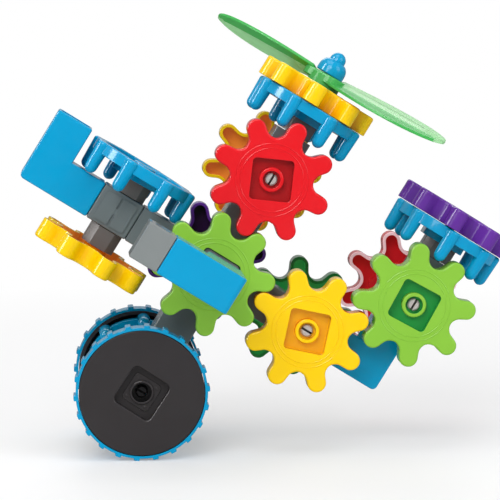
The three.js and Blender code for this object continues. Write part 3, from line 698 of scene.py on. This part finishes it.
def pin_socket(piece, matrix):
    cut = slab(PIN_WIDTH + 2 * GAP, PIN_WIDTH + 2 * GAP, -PIN_LENGTH - GAP, OVERRUN)
    cut.data.transform(matrix)
    carve(piece, cut)


def plug(matrix):
    piece = slab(PLUG_WIDTH, PLUG_WIDTH, -OVERRUN, PLUG_LENGTH)
    round_edges(piece, CORNER_ROUND, 2, upright)
    piece.data.transform(matrix)
    return piece


def hub(plugs, studs, reach=HALF):
    """Cube with a plug toward each block and a pin socket under each stud."""
    piece = slab(BLOCK, BLOCK, -HALF, HALF)
    if reach > HALF:
        pick(piece, "FACE", lambda face: face.normal.x < -ALONG)
        extrude((HALF - reach, 0, 0))
        close()
    round_edges(piece, HUB_ROUND, 3, sharp)
    for side in studs:
        pin_socket(piece, shifted(*(HALF * SIDE_AXES[side])) @ toward(side))
    parts = []
    for side in plugs:
        face = reach if side == "tail" else HALF
        parts.append(plug(shifted(*(face * SIDE_AXES[side])) @ toward(side)))
    return join(piece, *parts)


def plain_hub(*plugs):
    """Hub that carries an axle in front and behind."""
    return finish_shape(hub(plugs, ("front", "rear")))


def tail_hub():
    """Longer hub with a shallow panel on each broad side, parted by a short line from either edge.

    The cut meets the plugs already joined on, so the panel stands out where the real one is sunk.
    """
    piece = hub(("nose", "tail"), ("top", "bottom"), TAIL_REACH)
    middle = (HALF - TAIL_REACH) / 2
    for face in (-HALF, HALF):
        panel = slab(PANEL_LENGTH, PANEL_WIDTH, face - PANEL_DEPTH, face + PANEL_DEPTH, x=middle)
        round_edges(panel, PANEL_ROUND, 3, upright)
        for y in (RIB_PLACE, -RIB_PLACE):
            rib = slab(RIB_WIDTH, RIB_LENGTH, face - OVERRUN, face + OVERRUN, x=middle, y=y)
            carve(panel, rib)
        carve(piece, panel)
    return finish_shape(piece)


def pillar(length):
    """Bar with a plug socket in both ends."""
    piece = soft_block(length)
    socket(piece, PLUG_LENGTH + GAP, shifted(0, 0, length))
    socket(piece, PLUG_LENGTH + GAP, Matrix.Rotation(math.pi, 4, "X"))
    return finish_shape(piece)


def riser():
    piece = soft_block(RISER_LENGTH)
    pin_socket(piece, shifted(0, 0, RISER_LENGTH))
    socket(piece, PLUG_LENGTH + GAP, Matrix.Rotation(math.pi, 4, "X"))
    return finish_shape(piece)


def elbow(length, near_depth, far_depth):
    """Elbow as long as high, foot along +x and upright along +y, with a rounded outer corner.

    A near depth of zero gives its foot a pin socket.
    """
    piece = slab(BLOCK, BLOCK, -HALF, HALF, x=length - HALF)
    pick(piece, "FACE", lambda face: face.normal.x < -ALONG)
    extrude((BLOCK - length, 0, 0))
    close()
    pick(piece, "FACE", lambda face: face.normal.y > ALONG and face.calc_center_median().x > length - BLOCK)
    extrude((0, length - BLOCK, 0))
    close()

    def outer_corner(edge):
        place = middle_of(edge)
        return upright(edge) and place.x > length - TOUCH and place.y < TOUCH - HALF
    round_edges(piece, ELBOW_ROUND, 6, outer_corner)
    round_edges(piece, BLOCK_ROUND, 4, lambda edge: edge.is_convex and sharp(edge))
    if near_depth:
        socket(piece, near_depth, toward("tail"))
    else:
        pin_socket(piece, toward("tail"))
    socket(piece, far_depth, shifted(length - HALF, length - HALF, 0) @ toward("top"))
    return finish_shape(piece)


def grip():
    """Short bar with a plug at one end and an open socket at the other."""
    piece = soft_block(GRIP_LENGTH)
    socket(piece, SOCKET_DEPTH, shifted(0, 0, GRIP_LENGTH))
    return finish_shape(join(piece, plug(Matrix.Rotation(math.pi, 4, "X"))))


def neck(low, high):
    """Square bar with broad flats across its corners."""
    piece = slab(NECK_WIDTH, NECK_WIDTH, low, high)
    round_edges(piece, NECK_CHAMFER, 1, upright)
    round_edges(piece, FINE_EDGE, 2, upright)
    return piece


def pin(low, high):
    return slab(PIN_WIDTH, PIN_WIDTH, low, high)


def stud(length, reach, slot_turn=0.0):
    """Eight-sided neck with a slotted round shaft that snaps through what it carries."""
    barb = length + reach
    end = barb + BARB_LENGTH
    shaft = turned([
        (SHAFT_RADIUS, length - OVERRUN), (SHAFT_RADIUS, barb), (BARB_RADIUS, barb + BARB_FOOT),
        (BARB_RADIUS, barb + BARB_CHEEK), (SHAFT_RADIUS, barb + BARB_TAPER),
        (SHAFT_RADIUS - BARB_ROUND, end),
    ])
    slot = slab(4 * BARB_RADIUS, SLOT_WIDTH, end - SLOT_DEPTH, end + OVERRUN)
    slot.data.transform(about_z(slot_turn))
    carve(shaft, zoned(slot, "seat"))
    zoned(shaft, "thin")
    return finish_shape(join(neck(0, length), pin(-PIN_LENGTH, OVERRUN), shaft))


def seat_foot(low, high):
    """Square foot that fits the seat of a gear, before its room for the boss is cut."""
    foot = slab(SEAT_WIDTH - 2 * GAP, SEAT_WIDTH - 2 * GAP, low, high)
    round_edges(foot, SEAT_ROUND, 4, upright)
    return foot


def crank_post():
    """Square foot in the seat of the gear, with an eight-sided post on it."""
    foot_top = (SEAT_DEPTH - GAP) / 2
    post_top = SEAT_DEPTH - GAP + CRANK_POST
    foot = seat_foot(0, foot_top)
    round_edges(foot, CORNER_ROUND, 2, rim(foot_top))
    carve(foot, cylinder(BOSS_RADIUS + 2 * GAP, -OVERRUN, SEAT_DEPTH))
    post = neck(foot_top - POST_LAP, post_top)
    return finish_shape(join(foot, post, pin(post_top - OVERRUN, post_top + PIN_LENGTH)))


# Propeller and cap

def blade(deep_side):
    """Leaf-shaped blade with a low spine: a flat grid drawn in toward root and tip, then thickened.

    Most of it is pale, and the rest, on the deep side, keeps the colour of the hub.
    """
    root_width = BLADE_ROOT / BLADE_CHORD
    length = BLADE_RADIUS - BLADE_START
    bpy.ops.object.select_all(action="DESELECT")
    bpy.ops.mesh.primitive_grid_add(x_subdivisions=BLADE_ROWS, y_subdivisions=BLADE_COLUMNS, size=1)
    piece = zoned(bpy.context.object, "outside")
    stretch = Matrix.Diagonal((length, BLADE_CHORD, 1, 1))
    piece.data.transform(shifted(BLADE_START + length / 2, 0, 0) @ stretch)

    def is_row(edge, x):
        return all(abs(end.co.x - x) < TOUCH for end in edge.verts)
    for row in range(BLADE_ROWS + 1):
        x = BLADE_START + length * row / BLADE_ROWS
        reach = x / BLADE_RADIUS
        if reach < BLADE_WIDEST_SHARE:
            width = root_width + (1 - root_width) * math.sin(reach / BLADE_WIDEST_SHARE * math.pi / 2)
        else:
            taper = (reach - BLADE_WIDEST_SHARE) / (1 - BLADE_WIDEST_SHARE)
            width = math.sqrt(max(1 - taper ** BLADE_TIP_POWER, BLADE_TIP_SQUARE))
        pick(piece, "EDGE", lambda edge, x=x: is_row(edge, x))
        bpy.ops.transform.resize(value=(1, width, 1), center_override=(0, 0, 0))
        close()
    pick(piece, "EDGE", lambda edge: all(abs(end.co.y) < TOUCH for end in edge.verts))
    bpy.ops.transform.translate(value=(0, 0, BLADE_SPINE))
    close()
    piece.data.materials.append(ZONES["thin"])
    for polygon in piece.data.polygons:
        polygon.material_index = 1 if deep_side * polygon.center.y < BLADE_DEEP else 0
    select_only(piece)
    wall = piece.modifiers.new("thickness", "SOLIDIFY")
    wall.thickness = BLADE_WALL
    wall.offset = 0
    bpy.ops.object.modifier_apply(modifier=wall.name)
    round_edges(piece, FINE_EDGE, 2, sharp)
    piece.data.transform(Matrix.Rotation(BLADE_PITCH, 4, "X"))
    return piece


def propeller(foot_turn):
    """Two blades under a rounded bar on a round hub, keyed by a square foot in the gear below."""
    top = GAP + PROPELLER_HUB_HEIGHT
    hub_radius = PROPELLER_HUB_RADIUS - PROPELLER_HUB_INSET
    piece = cylinder(hub_radius, PROPELLER_FOOT, top - PROPELLER_HUB_INSET, PROPELLER_SIDES)
    bridge = slab(BRIDGE_LENGTH, BRIDGE_WIDTH, BRIDGE_START, top)
    round_edges(bridge, BRIDGE_ROUND, 8, upright)
    round_edges(bridge, BRIDGE_EDGE, 3, rim(BRIDGE_START, top))
    foot = seat_foot(GAP - SEAT_DEPTH, PROPELLER_FOOT)
    foot.data.transform(about_z(foot_turn))
    carve(foot, cylinder(BOSS_RADIUS + 2 * GAP, -SEAT_DEPTH - OVERRUN, OVERRUN))
    blade_height = GAP + BLADE_LEVEL - BLADE_SPINE
    first, second = blade(-1), blade(1)
    first.data.transform(shifted(0, 0, blade_height))
    second.data.transform(about_z(math.pi) @ shifted(0, 0, blade_height))
    return finish_shape(join(piece, bridge, foot, first, second))


def cap():
    """Domed cap with a ball on top."""
    neck_radius = CAP_NECK_SHARE * CAP_BALL
    wall = CAP_WALL_SHARE * CAP_HEIGHT
    profile = [(CAP_RADIUS - CAP_FOOT_EDGE, 0), (CAP_RADIUS, CAP_FOOT_EDGE), (CAP_RADIUS, wall)]
    steps = 9
    for step in range(1, steps + 1):
        angle = math.pi / 2 * step / (steps + 1)
        radius = neck_radius + (CAP_RADIUS - neck_radius) * math.cos(angle)
        profile.append((radius, wall + (CAP_HEIGHT - wall) * math.sin(angle)))
    for step in range(-2, steps + 1):
        angle = math.pi / 2 * step / steps
        radius = max(CAP_BALL * math.cos(angle), CAP_LEAST_RADIUS)
        height = CAP_BALL_RISE + CAP_BALL * math.sin(angle)
        if height > profile[-1][1]:
            profile.append((radius, height))
    return finish_shape(turned(profile))


# Finishes

def linear(colour):
    """Linear light from the six hexadecimal digits of a screen colour."""
    channels = [int(colour[start:start + 2], 16) / 255 for start in (0, 2, 4)]
    return tuple(c / 12.92 if c <= 0.04045 else ((c + 0.055) / 1.055) ** 2.4 for c in channels) + (1.0,)


def add_node(tree, kind, inputs=(), **settings):
    node = tree.nodes.new(kind)
    for name, value in settings.items():
        setattr(node, name, value)
    for name, value in dict(inputs).items():
        if isinstance(value, bpy.types.NodeSocket):
            tree.links.new(value, node.inputs[name])
        else:
            node.inputs[name].default_value = value
    return node


def mixed(tree, share, first, second):
    """Blend of two shaders, with this share of the second."""
    blend = add_node(tree, "ShaderNodeMixShader", {"Fac": share})
    tree.links.new(first, blend.inputs[1])
    tree.links.new(second, blend.inputs[2])
    return blend


def bare_material(name):
    material = bpy.data.materials.new(name)
    material.use_nodes = True
    material.node_tree.nodes.clear()
    return material


def moulded_plastic(name, colour, deeper, roughness=0.14, grain=0.03, painted_valley_shade=None, painted_glow=0.0):
    """Injection-moulded plastic: even colour with faint flow clouds, a smooth gloss and fine tool grain.

    Where ambient occlusion finds walls near, the colour turns toward a second colour given for hollows:
    painted shade that stands in for light bounced from wall to wall. An emission of the plastic's own
    colour, when given, is painted light that stands in for light coming through a thin wall from the other
    side.
    """
    material = bare_material(name)
    tree = material.node_tree
    place = add_node(tree, "ShaderNodeTexCoord").outputs["Object"]
    clouds = add_node(tree, "ShaderNodeTexNoise", {"Vector": place, "Scale": 45.0, "Detail": 3.0,
                                                   "Roughness": 0.5})
    tone = add_node(tree, "ShaderNodeMix", {"Factor": clouds.outputs["Fac"]}, data_type="RGBA")
    tone.inputs["A"].default_value = linear(deeper)
    tone.inputs["B"].default_value = linear(colour)
    surface = tone
    # Painted shade: where ambient occlusion finds walls near, the colour turns toward the one given for
    # hollows
    if painted_valley_shade:
        valley_shade_mask = add_node(tree, "ShaderNodeAmbientOcclusion", {"Distance": PAINTED_SHADE_REACH}, samples=8)
        depth = add_node(tree, "ShaderNodeMapRange", {"Value": valley_shade_mask.outputs["AO"], "From Min": 0.35,
                                                      "From Max": 0.85})
        surface = add_node(tree, "ShaderNodeMix", {"Factor": depth.outputs["Result"]}, data_type="RGBA")
        surface.inputs["A"].default_value = linear(painted_valley_shade)
        tree.links.new(tone.outputs["Result"], surface.inputs["B"])
    smears = add_node(tree, "ShaderNodeTexNoise", {"Vector": place, "Scale": 160.0, "Detail": 4.0})
    polish = add_node(tree, "ShaderNodeMapRange", {
        "Value": smears.outputs["Fac"], "From Min": 0.3, "From Max": 0.7,
        "To Min": roughness - 0.03, "To Max": roughness + 0.04,
    })
    pores = add_node(tree, "ShaderNodeTexNoise", {"Vector": place, "Scale": 1400.0, "Detail": 2.0})
    relief = add_node(tree, "ShaderNodeBump", {"Height": pores.outputs["Fac"], "Strength": grain,
                                               "Distance": 0.0002})
    shader = add_node(tree, "ShaderNodeBsdfPrincipled", {
        "Base Color": surface.outputs["Result"], "Roughness": polish.outputs["Result"],
        "Normal": relief.outputs["Normal"], "IOR": PLASTIC_IOR, "Specular IOR Level": 0.3,
        # Painted light: an emission of the plastic's own colour stands in for light through a thin wall
        "Emission Color": linear(colour), "Emission Strength": painted_glow,
    })
    add_node(tree, "ShaderNodeOutputMaterial", {"Surface": shader.outputs["BSDF"]})
    return material


def milky_plastic(name, colour):
    """Thin tinted plastic that light spreads through: smooth and gently glossy."""
    material = bare_material(name)
    tree = material.node_tree
    shader = add_node(tree, "ShaderNodeBsdfPrincipled", {
        "Base Color": linear(colour), "Roughness": 0.25, "IOR": PLASTIC_IOR, "Specular IOR Level": 0.25,
    })
    spread = add_node(tree, "ShaderNodeBsdfTranslucent", {"Color": linear(colour)})
    blend = mixed(tree, SPREAD_SHARE, shader.outputs["BSDF"], spread.outputs["BSDF"])
    add_node(tree, "ShaderNodeOutputMaterial", {"Surface": blend.outputs["Shader"]})
    return material


# ABS moulded in a polished tool: a colour, a deeper tone of it, and what differs from the common gloss. The
# seat, hollow and rim finishes are the same plastic with painted shade and painted light: a seat is painted
# deeper as shade, the purple hollow is painted darker as shade, the red, yellow and deep green hollows are
# lit with painted light and an emission, and a rim is painted pale as light coming through its wall, the red
# one with an emission too. The plain yellow turns orange in its hollows, as painted shade.
SATIN = {"roughness": 0.22, "grain": 0.04}
PLASTICS = {
    "red": ("dc1a23", "d4151d", {}),
    "red seat painted shade": ("b41a1f", "ac171c", {}),
    "red hollow painted light": ("d4222a", "cc1e26", {"painted_glow": 0.12}),
    "red rim painted light": ("ffd0d4", "fcc6cc", {"painted_glow": 0.2}),
    "yellow": ("f2c906", "eec004", {"painted_valley_shade": "ee8a0a"}),
    "yellow seat painted shade": ("f4b618", "ecae14", {}),
    "yellow hollow painted light": ("e48e38", "dc8630", {"painted_glow": 0.15}),
    "yellow rim painted light": ("f4cc14", "eec010", {}),
    "green": ("86bd3e", "7eb638", {}),
    "green seat painted shade": ("269b44", "209240", {}),
    "deep green": ("1f8a3c", "1b7e36", {}),
    "deep green hollow painted light": ("2c9c4c", "289446", {"painted_glow": 0.25}),
    "purple": ("623196", "592a8a", {}),
    "purple hollow painted shade": ("3a1c4c", "331844", {}),
    "blue": ("0096c5", "008ebd", {}),
    "grey": ("667072", "5f696b", SATIN),
    "warm grey": ("646160", "5d5a58", SATIN),
    "pale grey": ("7f8484", "777d7d", {"roughness": 0.2, "grain": 0.04}),
    "light grey": ("b2aca8", "a8a29e", SATIN),
    "charcoal": ("353233", "302d2e", {"roughness": 0.22, "grain": 0.05}),
    "black": ("161516", "121112", {"roughness": 0.2, "grain": 0.04}),
}
FINISHES = {
    name: moulded_plastic(name.replace(" ", "_") + "_moulded_abs", colour, deeper, **changes)
    for name, (colour, deeper, changes) in PLASTICS.items()
}
# Tinted polystyrene: the thin blades are pale, and their deep side and the hub keep the full colour
FINISHES["clear green"] = milky_plastic("tinted_green_polystyrene", "58c66a")
FINISHES["pale clear green"] = milky_plastic("pale_tinted_green_polystyrene", "bae6b8")
# Which finish each zone of a piece takes. The seat, hollow and rim finishes are painted shade and painted
# light; the black of the charcoal wheel's hollow and bore is painted shade, and so is the black meant for
# the studs' slots.
TONES = {
    "red": {"seat": "red seat painted shade", "hollow": "red hollow painted light", "rim": "red rim painted light"},
    "yellow": {"seat": "yellow seat painted shade", "hollow": "yellow hollow painted light", "rim": "yellow rim painted light"},
    "green": {"seat": "green seat painted shade"},
    "deep green": {"hollow": "deep green hollow painted light"},
    "purple": {"hollow": "purple hollow painted shade"},
    "stud": {"outside": "warm grey", "thin": "light grey", "seat": "black"},
    "plain stud": {"outside": "warm grey", "thin": "warm grey", "seat": "black"},
    "axle": {"outside": "warm grey", "thin": "black", "seat": "black"},
    "charcoal": {"hollow": "black"},
    "clear green": {"thin": "pale clear green"},
}

# Where each piece goes: +x toward the nose of the toy, +y to its top, +z to its crank side
nose_axis = Vector((math.cos(TILT), 0, -math.sin(TILT)))
top_axis = Vector((math.sin(TILT), 0, math.cos(TILT)))
front_axis = Vector((0, -1, 0))
low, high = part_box("hub_a")
crank_hub = (low + high) / 2
toy = axes_matrix((nose_axis, top_axis, front_axis), MILLIMETRE, crank_hub)

MOUNT_AXES = {
    "front": ("nose", "top", "front"), "rear": ("tail", "top", "rear"),
    "top": ("front", "nose", "top"), "bottom": ("front", "tail", "bottom"),
    "nose": ("top", "front", "nose"), "tail": ("front", "top", "tail"),
}
HUBS = {
    "a": (0, 0), "b": (0, CENTRES), "c": (CENTRES, 0), "d": (CENTRES + 2 * BLOCK, 2 * BLOCK),
    "tail": (-CENTRES, 0), "wheel": (0, -WHEEL_DROP),
}


def at(station, side=None, height=0.0, turn=0.0):
    """Place on one side of a hub, that far from its centre, turned about the line away from it."""
    place = toy @ shifted(*HUBS[station], 0)
    if side:
        place = place @ axes_matrix([SIDE_AXES[name] for name in MOUNT_AXES[side]])
    return place @ shifted(0, 0, height) @ about_z(turn)


bodies = frame["record"]["behaviour"]["bodies"]
node_bodies = {node: body for body, nodes in bodies.items() for node in nodes}


def dress(node, shape, place, finish):
    """Sets a copy of a shape in the place of a CAD node, in its finish, on the node's body."""
    piece = twin(shape, place)
    piece.name = node + "_moulding"
    tones = TONES.get(finish, {})
    for slot in piece.material_slots:
        zone = slot.material.name.removeprefix("zone_")
        slot.material = FINISHES[tones.get(zone, tones.get("outside", finish))]
    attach(piece, node_bodies[node])
    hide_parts(node)


def meshed(turn, direction):
    """The turn of a gear whose teeth mesh with a gear at this turn, from which it lies in this direction."""
    return 2 * direction + math.pi - turn + PITCH / 2 + PITCH


models = []


def model(piece):
    """Notes a shape that is only copied from and removed at the end."""
    models.append(piece)
    return piece


block_start = HALF + GAP
joint_depth = PLUG_LENGTH + GAP

# Hubs and blocks
dress("hub_a", model(plain_hub("top", "nose", "tail", "bottom")), at("a"), "grey")
hub_on_pillars = model(plain_hub("top", "bottom"))
for key in "bd":
    dress(f"hub_{key}", hub_on_pillars, at(key), "grey")
dress("hub_c", model(plain_hub("nose", "tail")), at("c"), "grey")
dress("hub_wheel", model(plain_hub("top")), at("wheel"), "grey")
dress("hub_tail", model(tail_hub()), at("tail"), "grey")
bar = model(pillar(CENTRES - BLOCK - 2 * GAP))
for node, side in (("pillar_ab", "top"), ("pillar_ac", "nose"), ("pillar_at", "tail")):
    dress(node, bar, at("a", side, block_start), "grey")
dress("pillar_aw", model(pillar(WHEEL_DROP - BLOCK - 2 * GAP)), at("a", "bottom", block_start), "grey")
stand = model(riser())
for key in "bd":
    dress(f"riser_{key}", stand, at(key, "top", block_start), "grey")
nose_block = model(elbow(2 * BLOCK - GAP, joint_depth, joint_depth))
dress("elbow_nose", nose_block, at("c") @ shifted(block_start, 0, 0), "blue")
tail_block = model(elbow(2 * BLOCK, joint_depth, SOCKET_DEPTH))
tail_place = at("tail") @ shifted(-TAIL_REACH - GAP, 0, 0) @ Matrix.Rotation(math.pi, 4, "Y")
dress("elbow_tail", tail_block, tail_place, "blue")

# Studs
gear_reach = GAP + LEDGE + GAP
crown_reach = GAP + CROWN_HEIGHT + GAP
stack_reach = GAP + CROWN_HEIGHT + GAP + LEDGE + GAP
wheel_reach = crown_reach + AXLE_REACH + GAP
gear_stud = model(stud(NECK_LENGTH, gear_reach, math.pi / 2))
gear_stud_flat = model(stud(NECK_LENGTH, gear_reach))
rear_stud = model(stud(NECK_LENGTH + REAR_SPACER, gear_reach))
stack_stud = model(stud(NECK_LENGTH, stack_reach))
for key in "abcd":
    front_stud = gear_stud_flat if key == "c" else gear_stud
    dress(f"stud_front_{key}", front_stud, at(key, "front", block_start), "stud")
    dress(f"stud_rear_{key}", rear_stud, at(key, "rear", block_start), "stud")
for key in "bd":
    dress(f"stud_top_{key}", stack_stud, at(key, "top", RISER_END + GAP), "stud")
tail_stud = model(stud(NECK_LENGTH, crown_reach - BARB_LENGTH - TOP_STUD_SINK))
dress("stud_tail_top", tail_stud, at("tail", "top", block_start), "plain stud")
dress("stud_tail_bottom", gear_stud, at("tail", "bottom", block_start), "stud")
dress("stud_wheel_front", model(stud(NECK_LENGTH, wheel_reach)), at("wheel", "front", block_start), "axle")
back_stud = model(stud(NECK_LENGTH + REAR_SPACER, wheel_reach))
dress("stud_wheel_back", back_stud, at("wheel", "rear", block_start), "axle")

# Gear trains
spur = model(gear())
front_turns = {"a": -PITCH / 2}
rear_turns = {"a": front_turns["a"] + REAR_LAG}
for turns in (front_turns, rear_turns):
    turns["b"] = meshed(turns["a"], math.pi / 2)
    turns["c"] = meshed(turns["a"], 0)
    turns["d"] = meshed(turns["c"], math.pi / 4)
# The front gears rest against one side of their teeth's play, as in the photograph
for key, slack in FRONT_SLACK.items():
    front_turns[key] += slack
front_colours = {"a": "green", "b": "red", "c": "yellow", "d": "green"}
rear_colours = {"a": "purple", "b": "yellow", "c": "deep green", "d": "red"}
for key in "abcd":
    front, rear = front_colours[key], rear_colours[key]
    dress(f"gear_front_{key}", spur, at(key, "front", FRONT_SEAT, front_turns[key]), front)
    dress(f"gear_rear_{key}", spur, at(key, "rear", REAR_SEAT, -rear_turns[key]), rear)

# Crank
crank_foot = FRONT_SEAT + GEAR_WIDTH - SEAT_DEPTH + GAP
crank_top = crank_foot + SEAT_DEPTH - GAP + CRANK_POST
dress("crank_post", model(crank_post()), at("a", "front", crank_foot), "pale grey")
arm = axes_matrix([SIDE_AXES[name] for name in ("front", "tail", "bottom")])
crank_arm = model(elbow(2 * BLOCK, 0, joint_depth))
dress("crank_elbow", crank_arm, at("a") @ shifted(0, 0, crank_top + GAP) @ arm, "blue")
grip_height = crank_top + GAP + 2 * BLOCK - HALF
grip_place = toy @ shifted(HALF - 2 * BLOCK - GAP, 0, grip_height)
dress("crank_grip", model(grip()), grip_place @ toward("tail"), "pale grey")

# Rotor, nose and tail stacks
on_crown = TOP_SEAT + CROWN_HEIGHT + GAP
gear_face = on_crown + GEAR_WIDTH
crown_gear = model(crown())
dress("crown_rotor", crown_gear, at("b", "top", TOP_SEAT, PITCH / 2), "blue")
dress("gear_rotor", spur, at("b", "top", on_crown, ROTOR_TURN), "yellow")
blade_turn = math.pi / 2 - BLADE_TURN
rotor_blades = model(propeller(PITCH / 2 + ROTOR_TURN - blade_turn))
lean = Matrix.Rotation(PROPELLER_LEAN, 4, "X")
dress("propeller", rotor_blades, at("b", "top", gear_face) @ lean @ about_z(blade_turn), "clear green")
dress("propeller_cap", model(cap()), at("b", "top", gear_face + GAP + PROPELLER_HUB_HEIGHT + GAP), "blue")
dress("crown_nose", crown_gear, at("d", "top", TOP_SEAT, NOSE_CROWN_TURN), "blue")
dress("gear_nose", spur, at("d", "top", on_crown, NOSE_GEAR_TURN), "purple")
dress("crown_tail", crown_gear, at("tail", "top", FRONT_SEAT, TAIL_CROWN_TURN), "blue")
dress("gear_tail", spur, at("tail", "bottom", FRONT_SEAT, TAIL_GEAR_TURN), "yellow")

# Wheels
disc = model(wheel())
band = model(tyre())
for label, side, seat in (("front", "front", FRONT_SEAT), ("back", "rear", REAR_SEAT)):
    on_axle = seat + CROWN_HEIGHT + GAP
    dress(f"wheel_crown_{label}", crown_gear, at("wheel", side, seat, WHEEL_CROWN_TURN), "blue")
    dress(f"wheel_{label}", disc, at("wheel", side, on_axle, DISC_TURN), "charcoal")
    dress(f"tyre_{label}", band, at("wheel", side, on_axle, TYRE_TURN), "blue")

for piece in models:
    bpy.data.objects.remove(piece)


# Floor, light and camera

def pale_floor():
    """White studio table that fades into the white round it and is dim where the gloss mirrors it."""
    bpy.ops.object.select_all(action="DESELECT")
    bpy.ops.mesh.primitive_plane_add(size=8)
    floor = bpy.context.object
    floor.name = "studio_floor"
    material = bare_material("white_studio_table")
    tree = material.node_tree
    place = add_node(tree, "ShaderNodeTexCoord").outputs["Object"]
    reach = add_node(tree, "ShaderNodeVectorMath", {0: place}, operation="LENGTH")
    fade = add_node(tree, "ShaderNodeMapRange", {"Value": reach.outputs["Value"], "From Min": 0.25,
                                                 "From Max": 0.7, "To Min": 0.3, "To Max": 1.0})
    speck = add_node(tree, "ShaderNodeTexNoise", {"Vector": place, "Scale": 300.0})
    relief = add_node(tree, "ShaderNodeBump", {"Height": speck.outputs["Fac"], "Strength": 0.02,
                                               "Distance": 0.0003})
    table = add_node(tree, "ShaderNodeBsdfPrincipled", {
        "Base Color": (0.86, 0.86, 0.87, 1), "Roughness": 0.55, "Normal": relief.outputs["Normal"],
    })
    white = add_node(tree, "ShaderNodeEmission", {"Color": (1, 1, 1, 1), "Strength": 1.0})
    seen = add_node(tree, "ShaderNodeLightPath")
    share = add_node(tree, "ShaderNodeMath", {0: fade.outputs["Result"], 1: seen.outputs["Is Camera Ray"]},
                     operation="MULTIPLY")
    blend = mixed(tree, share.outputs["Value"], table.outputs["BSDF"], white.outputs["Emission"])
    dim = add_node(tree, "ShaderNodeBsdfDiffuse", {"Color": (0.25, 0.25, 0.25, 1)})
    whole = mixed(tree, seen.outputs["Is Glossy Ray"], blend.outputs["Shader"], dim.outputs["BSDF"])
    add_node(tree, "ShaderNodeOutputMaterial", {"Surface": whole.outputs["Shader"]})
    floor.data.materials.append(material)


def white_world():
    """Even grey surround, brighter in gloss, and plain white to the camera and through thin plastic."""
    world = bpy.data.worlds.new("studio_surround")
    bpy.context.scene.world = world
    world.use_nodes = True
    tree = world.node_tree
    tree.nodes.clear()
    seen = add_node(tree, "ShaderNodeLightPath")
    direct = add_node(tree, "ShaderNodeMath", {
        0: seen.outputs["Is Camera Ray"], 1: seen.outputs["Is Transmission Ray"],
    }, operation="MAXIMUM")
    gloss = add_node(tree, "ShaderNodeMapRange", {"Value": seen.outputs["Is Glossy Ray"], "To Min": 0.4,
                                                  "To Max": 0.45})
    strength = add_node(tree, "ShaderNodeMapRange", {
        "Value": direct.outputs["Value"], "To Min": gloss.outputs["Result"], "To Max": 1.0,
    })
    light = add_node(tree, "ShaderNodeBackground", {"Color": (1, 1, 1, 1),
                                                    "Strength": strength.outputs["Result"]})
    add_node(tree, "ShaderNodeOutputWorld", {"Surface": light.outputs["Background"]})


def soft_box(name, place, width, height, watts):
    """Rectangular lamp behind white cloth, turned to the middle of the toy."""
    data = bpy.data.lights.new(name, "AREA")
    data.shape = "RECTANGLE"
    data.size = width
    data.size_y = height
    data.energy = watts
    lamp = bpy.data.objects.new(name, data)
    lamp.location = place
    lamp.rotation_euler = (LAMP_AIM - lamp.location).to_track_quat("-Z", "Y").to_euler()
    bpy.context.scene.collection.objects.link(lamp)
    return lamp


def camera_at_photo():
    """The photograph's viewpoint, found from the gears, blocks and wheels that it shows."""
    azimuth, elevation = math.radians(-4.0265), math.radians(5.881)
    distance = 1.16294
    aim_from_crank = Vector((0.019818, 0, 0.008773))
    forward = Vector((-math.sin(azimuth) * math.cos(elevation), math.cos(azimuth) * math.cos(elevation),
                      -math.sin(elevation)))
    data = bpy.data.cameras.new("photo_view")
    data.sensor_width = 36
    data.lens = 168.8
    camera = bpy.data.objects.new("photo_view", data)
    camera.location = crank_hub + aim_from_crank - forward * distance
    camera.rotation_euler = forward.to_track_quat("-Z", "Y").to_euler()
    bpy.context.scene.collection.objects.link(camera)
    bpy.context.scene.camera = camera


pale_floor()
white_world()
soft_box("key_soft_box", place=(-0.45, -1.15, 0.95), width=0.9, height=0.7, watts=12.5)
soft_box("top_soft_box", place=(-0.1, -0.3, 1.5), width=1.0, height=1.0, watts=8.5)
edge_strip = soft_box("edge_strip", place=(-1.1, -0.25, 0.75), width=0.3, height=1.3, watts=22)
edge_strip.visible_diffuse = False
soft_box("fill_soft_box", place=(1.1, -0.8, 0.6), width=0.7, height=0.9, watts=5)
soft_box("back_soft_box", place=(0.1, 1.1, 0.9), width=1.0, height=0.5, watts=4)
camera_at_photo()
bpy.context.scene.view_settings.view_transform = "Standard"
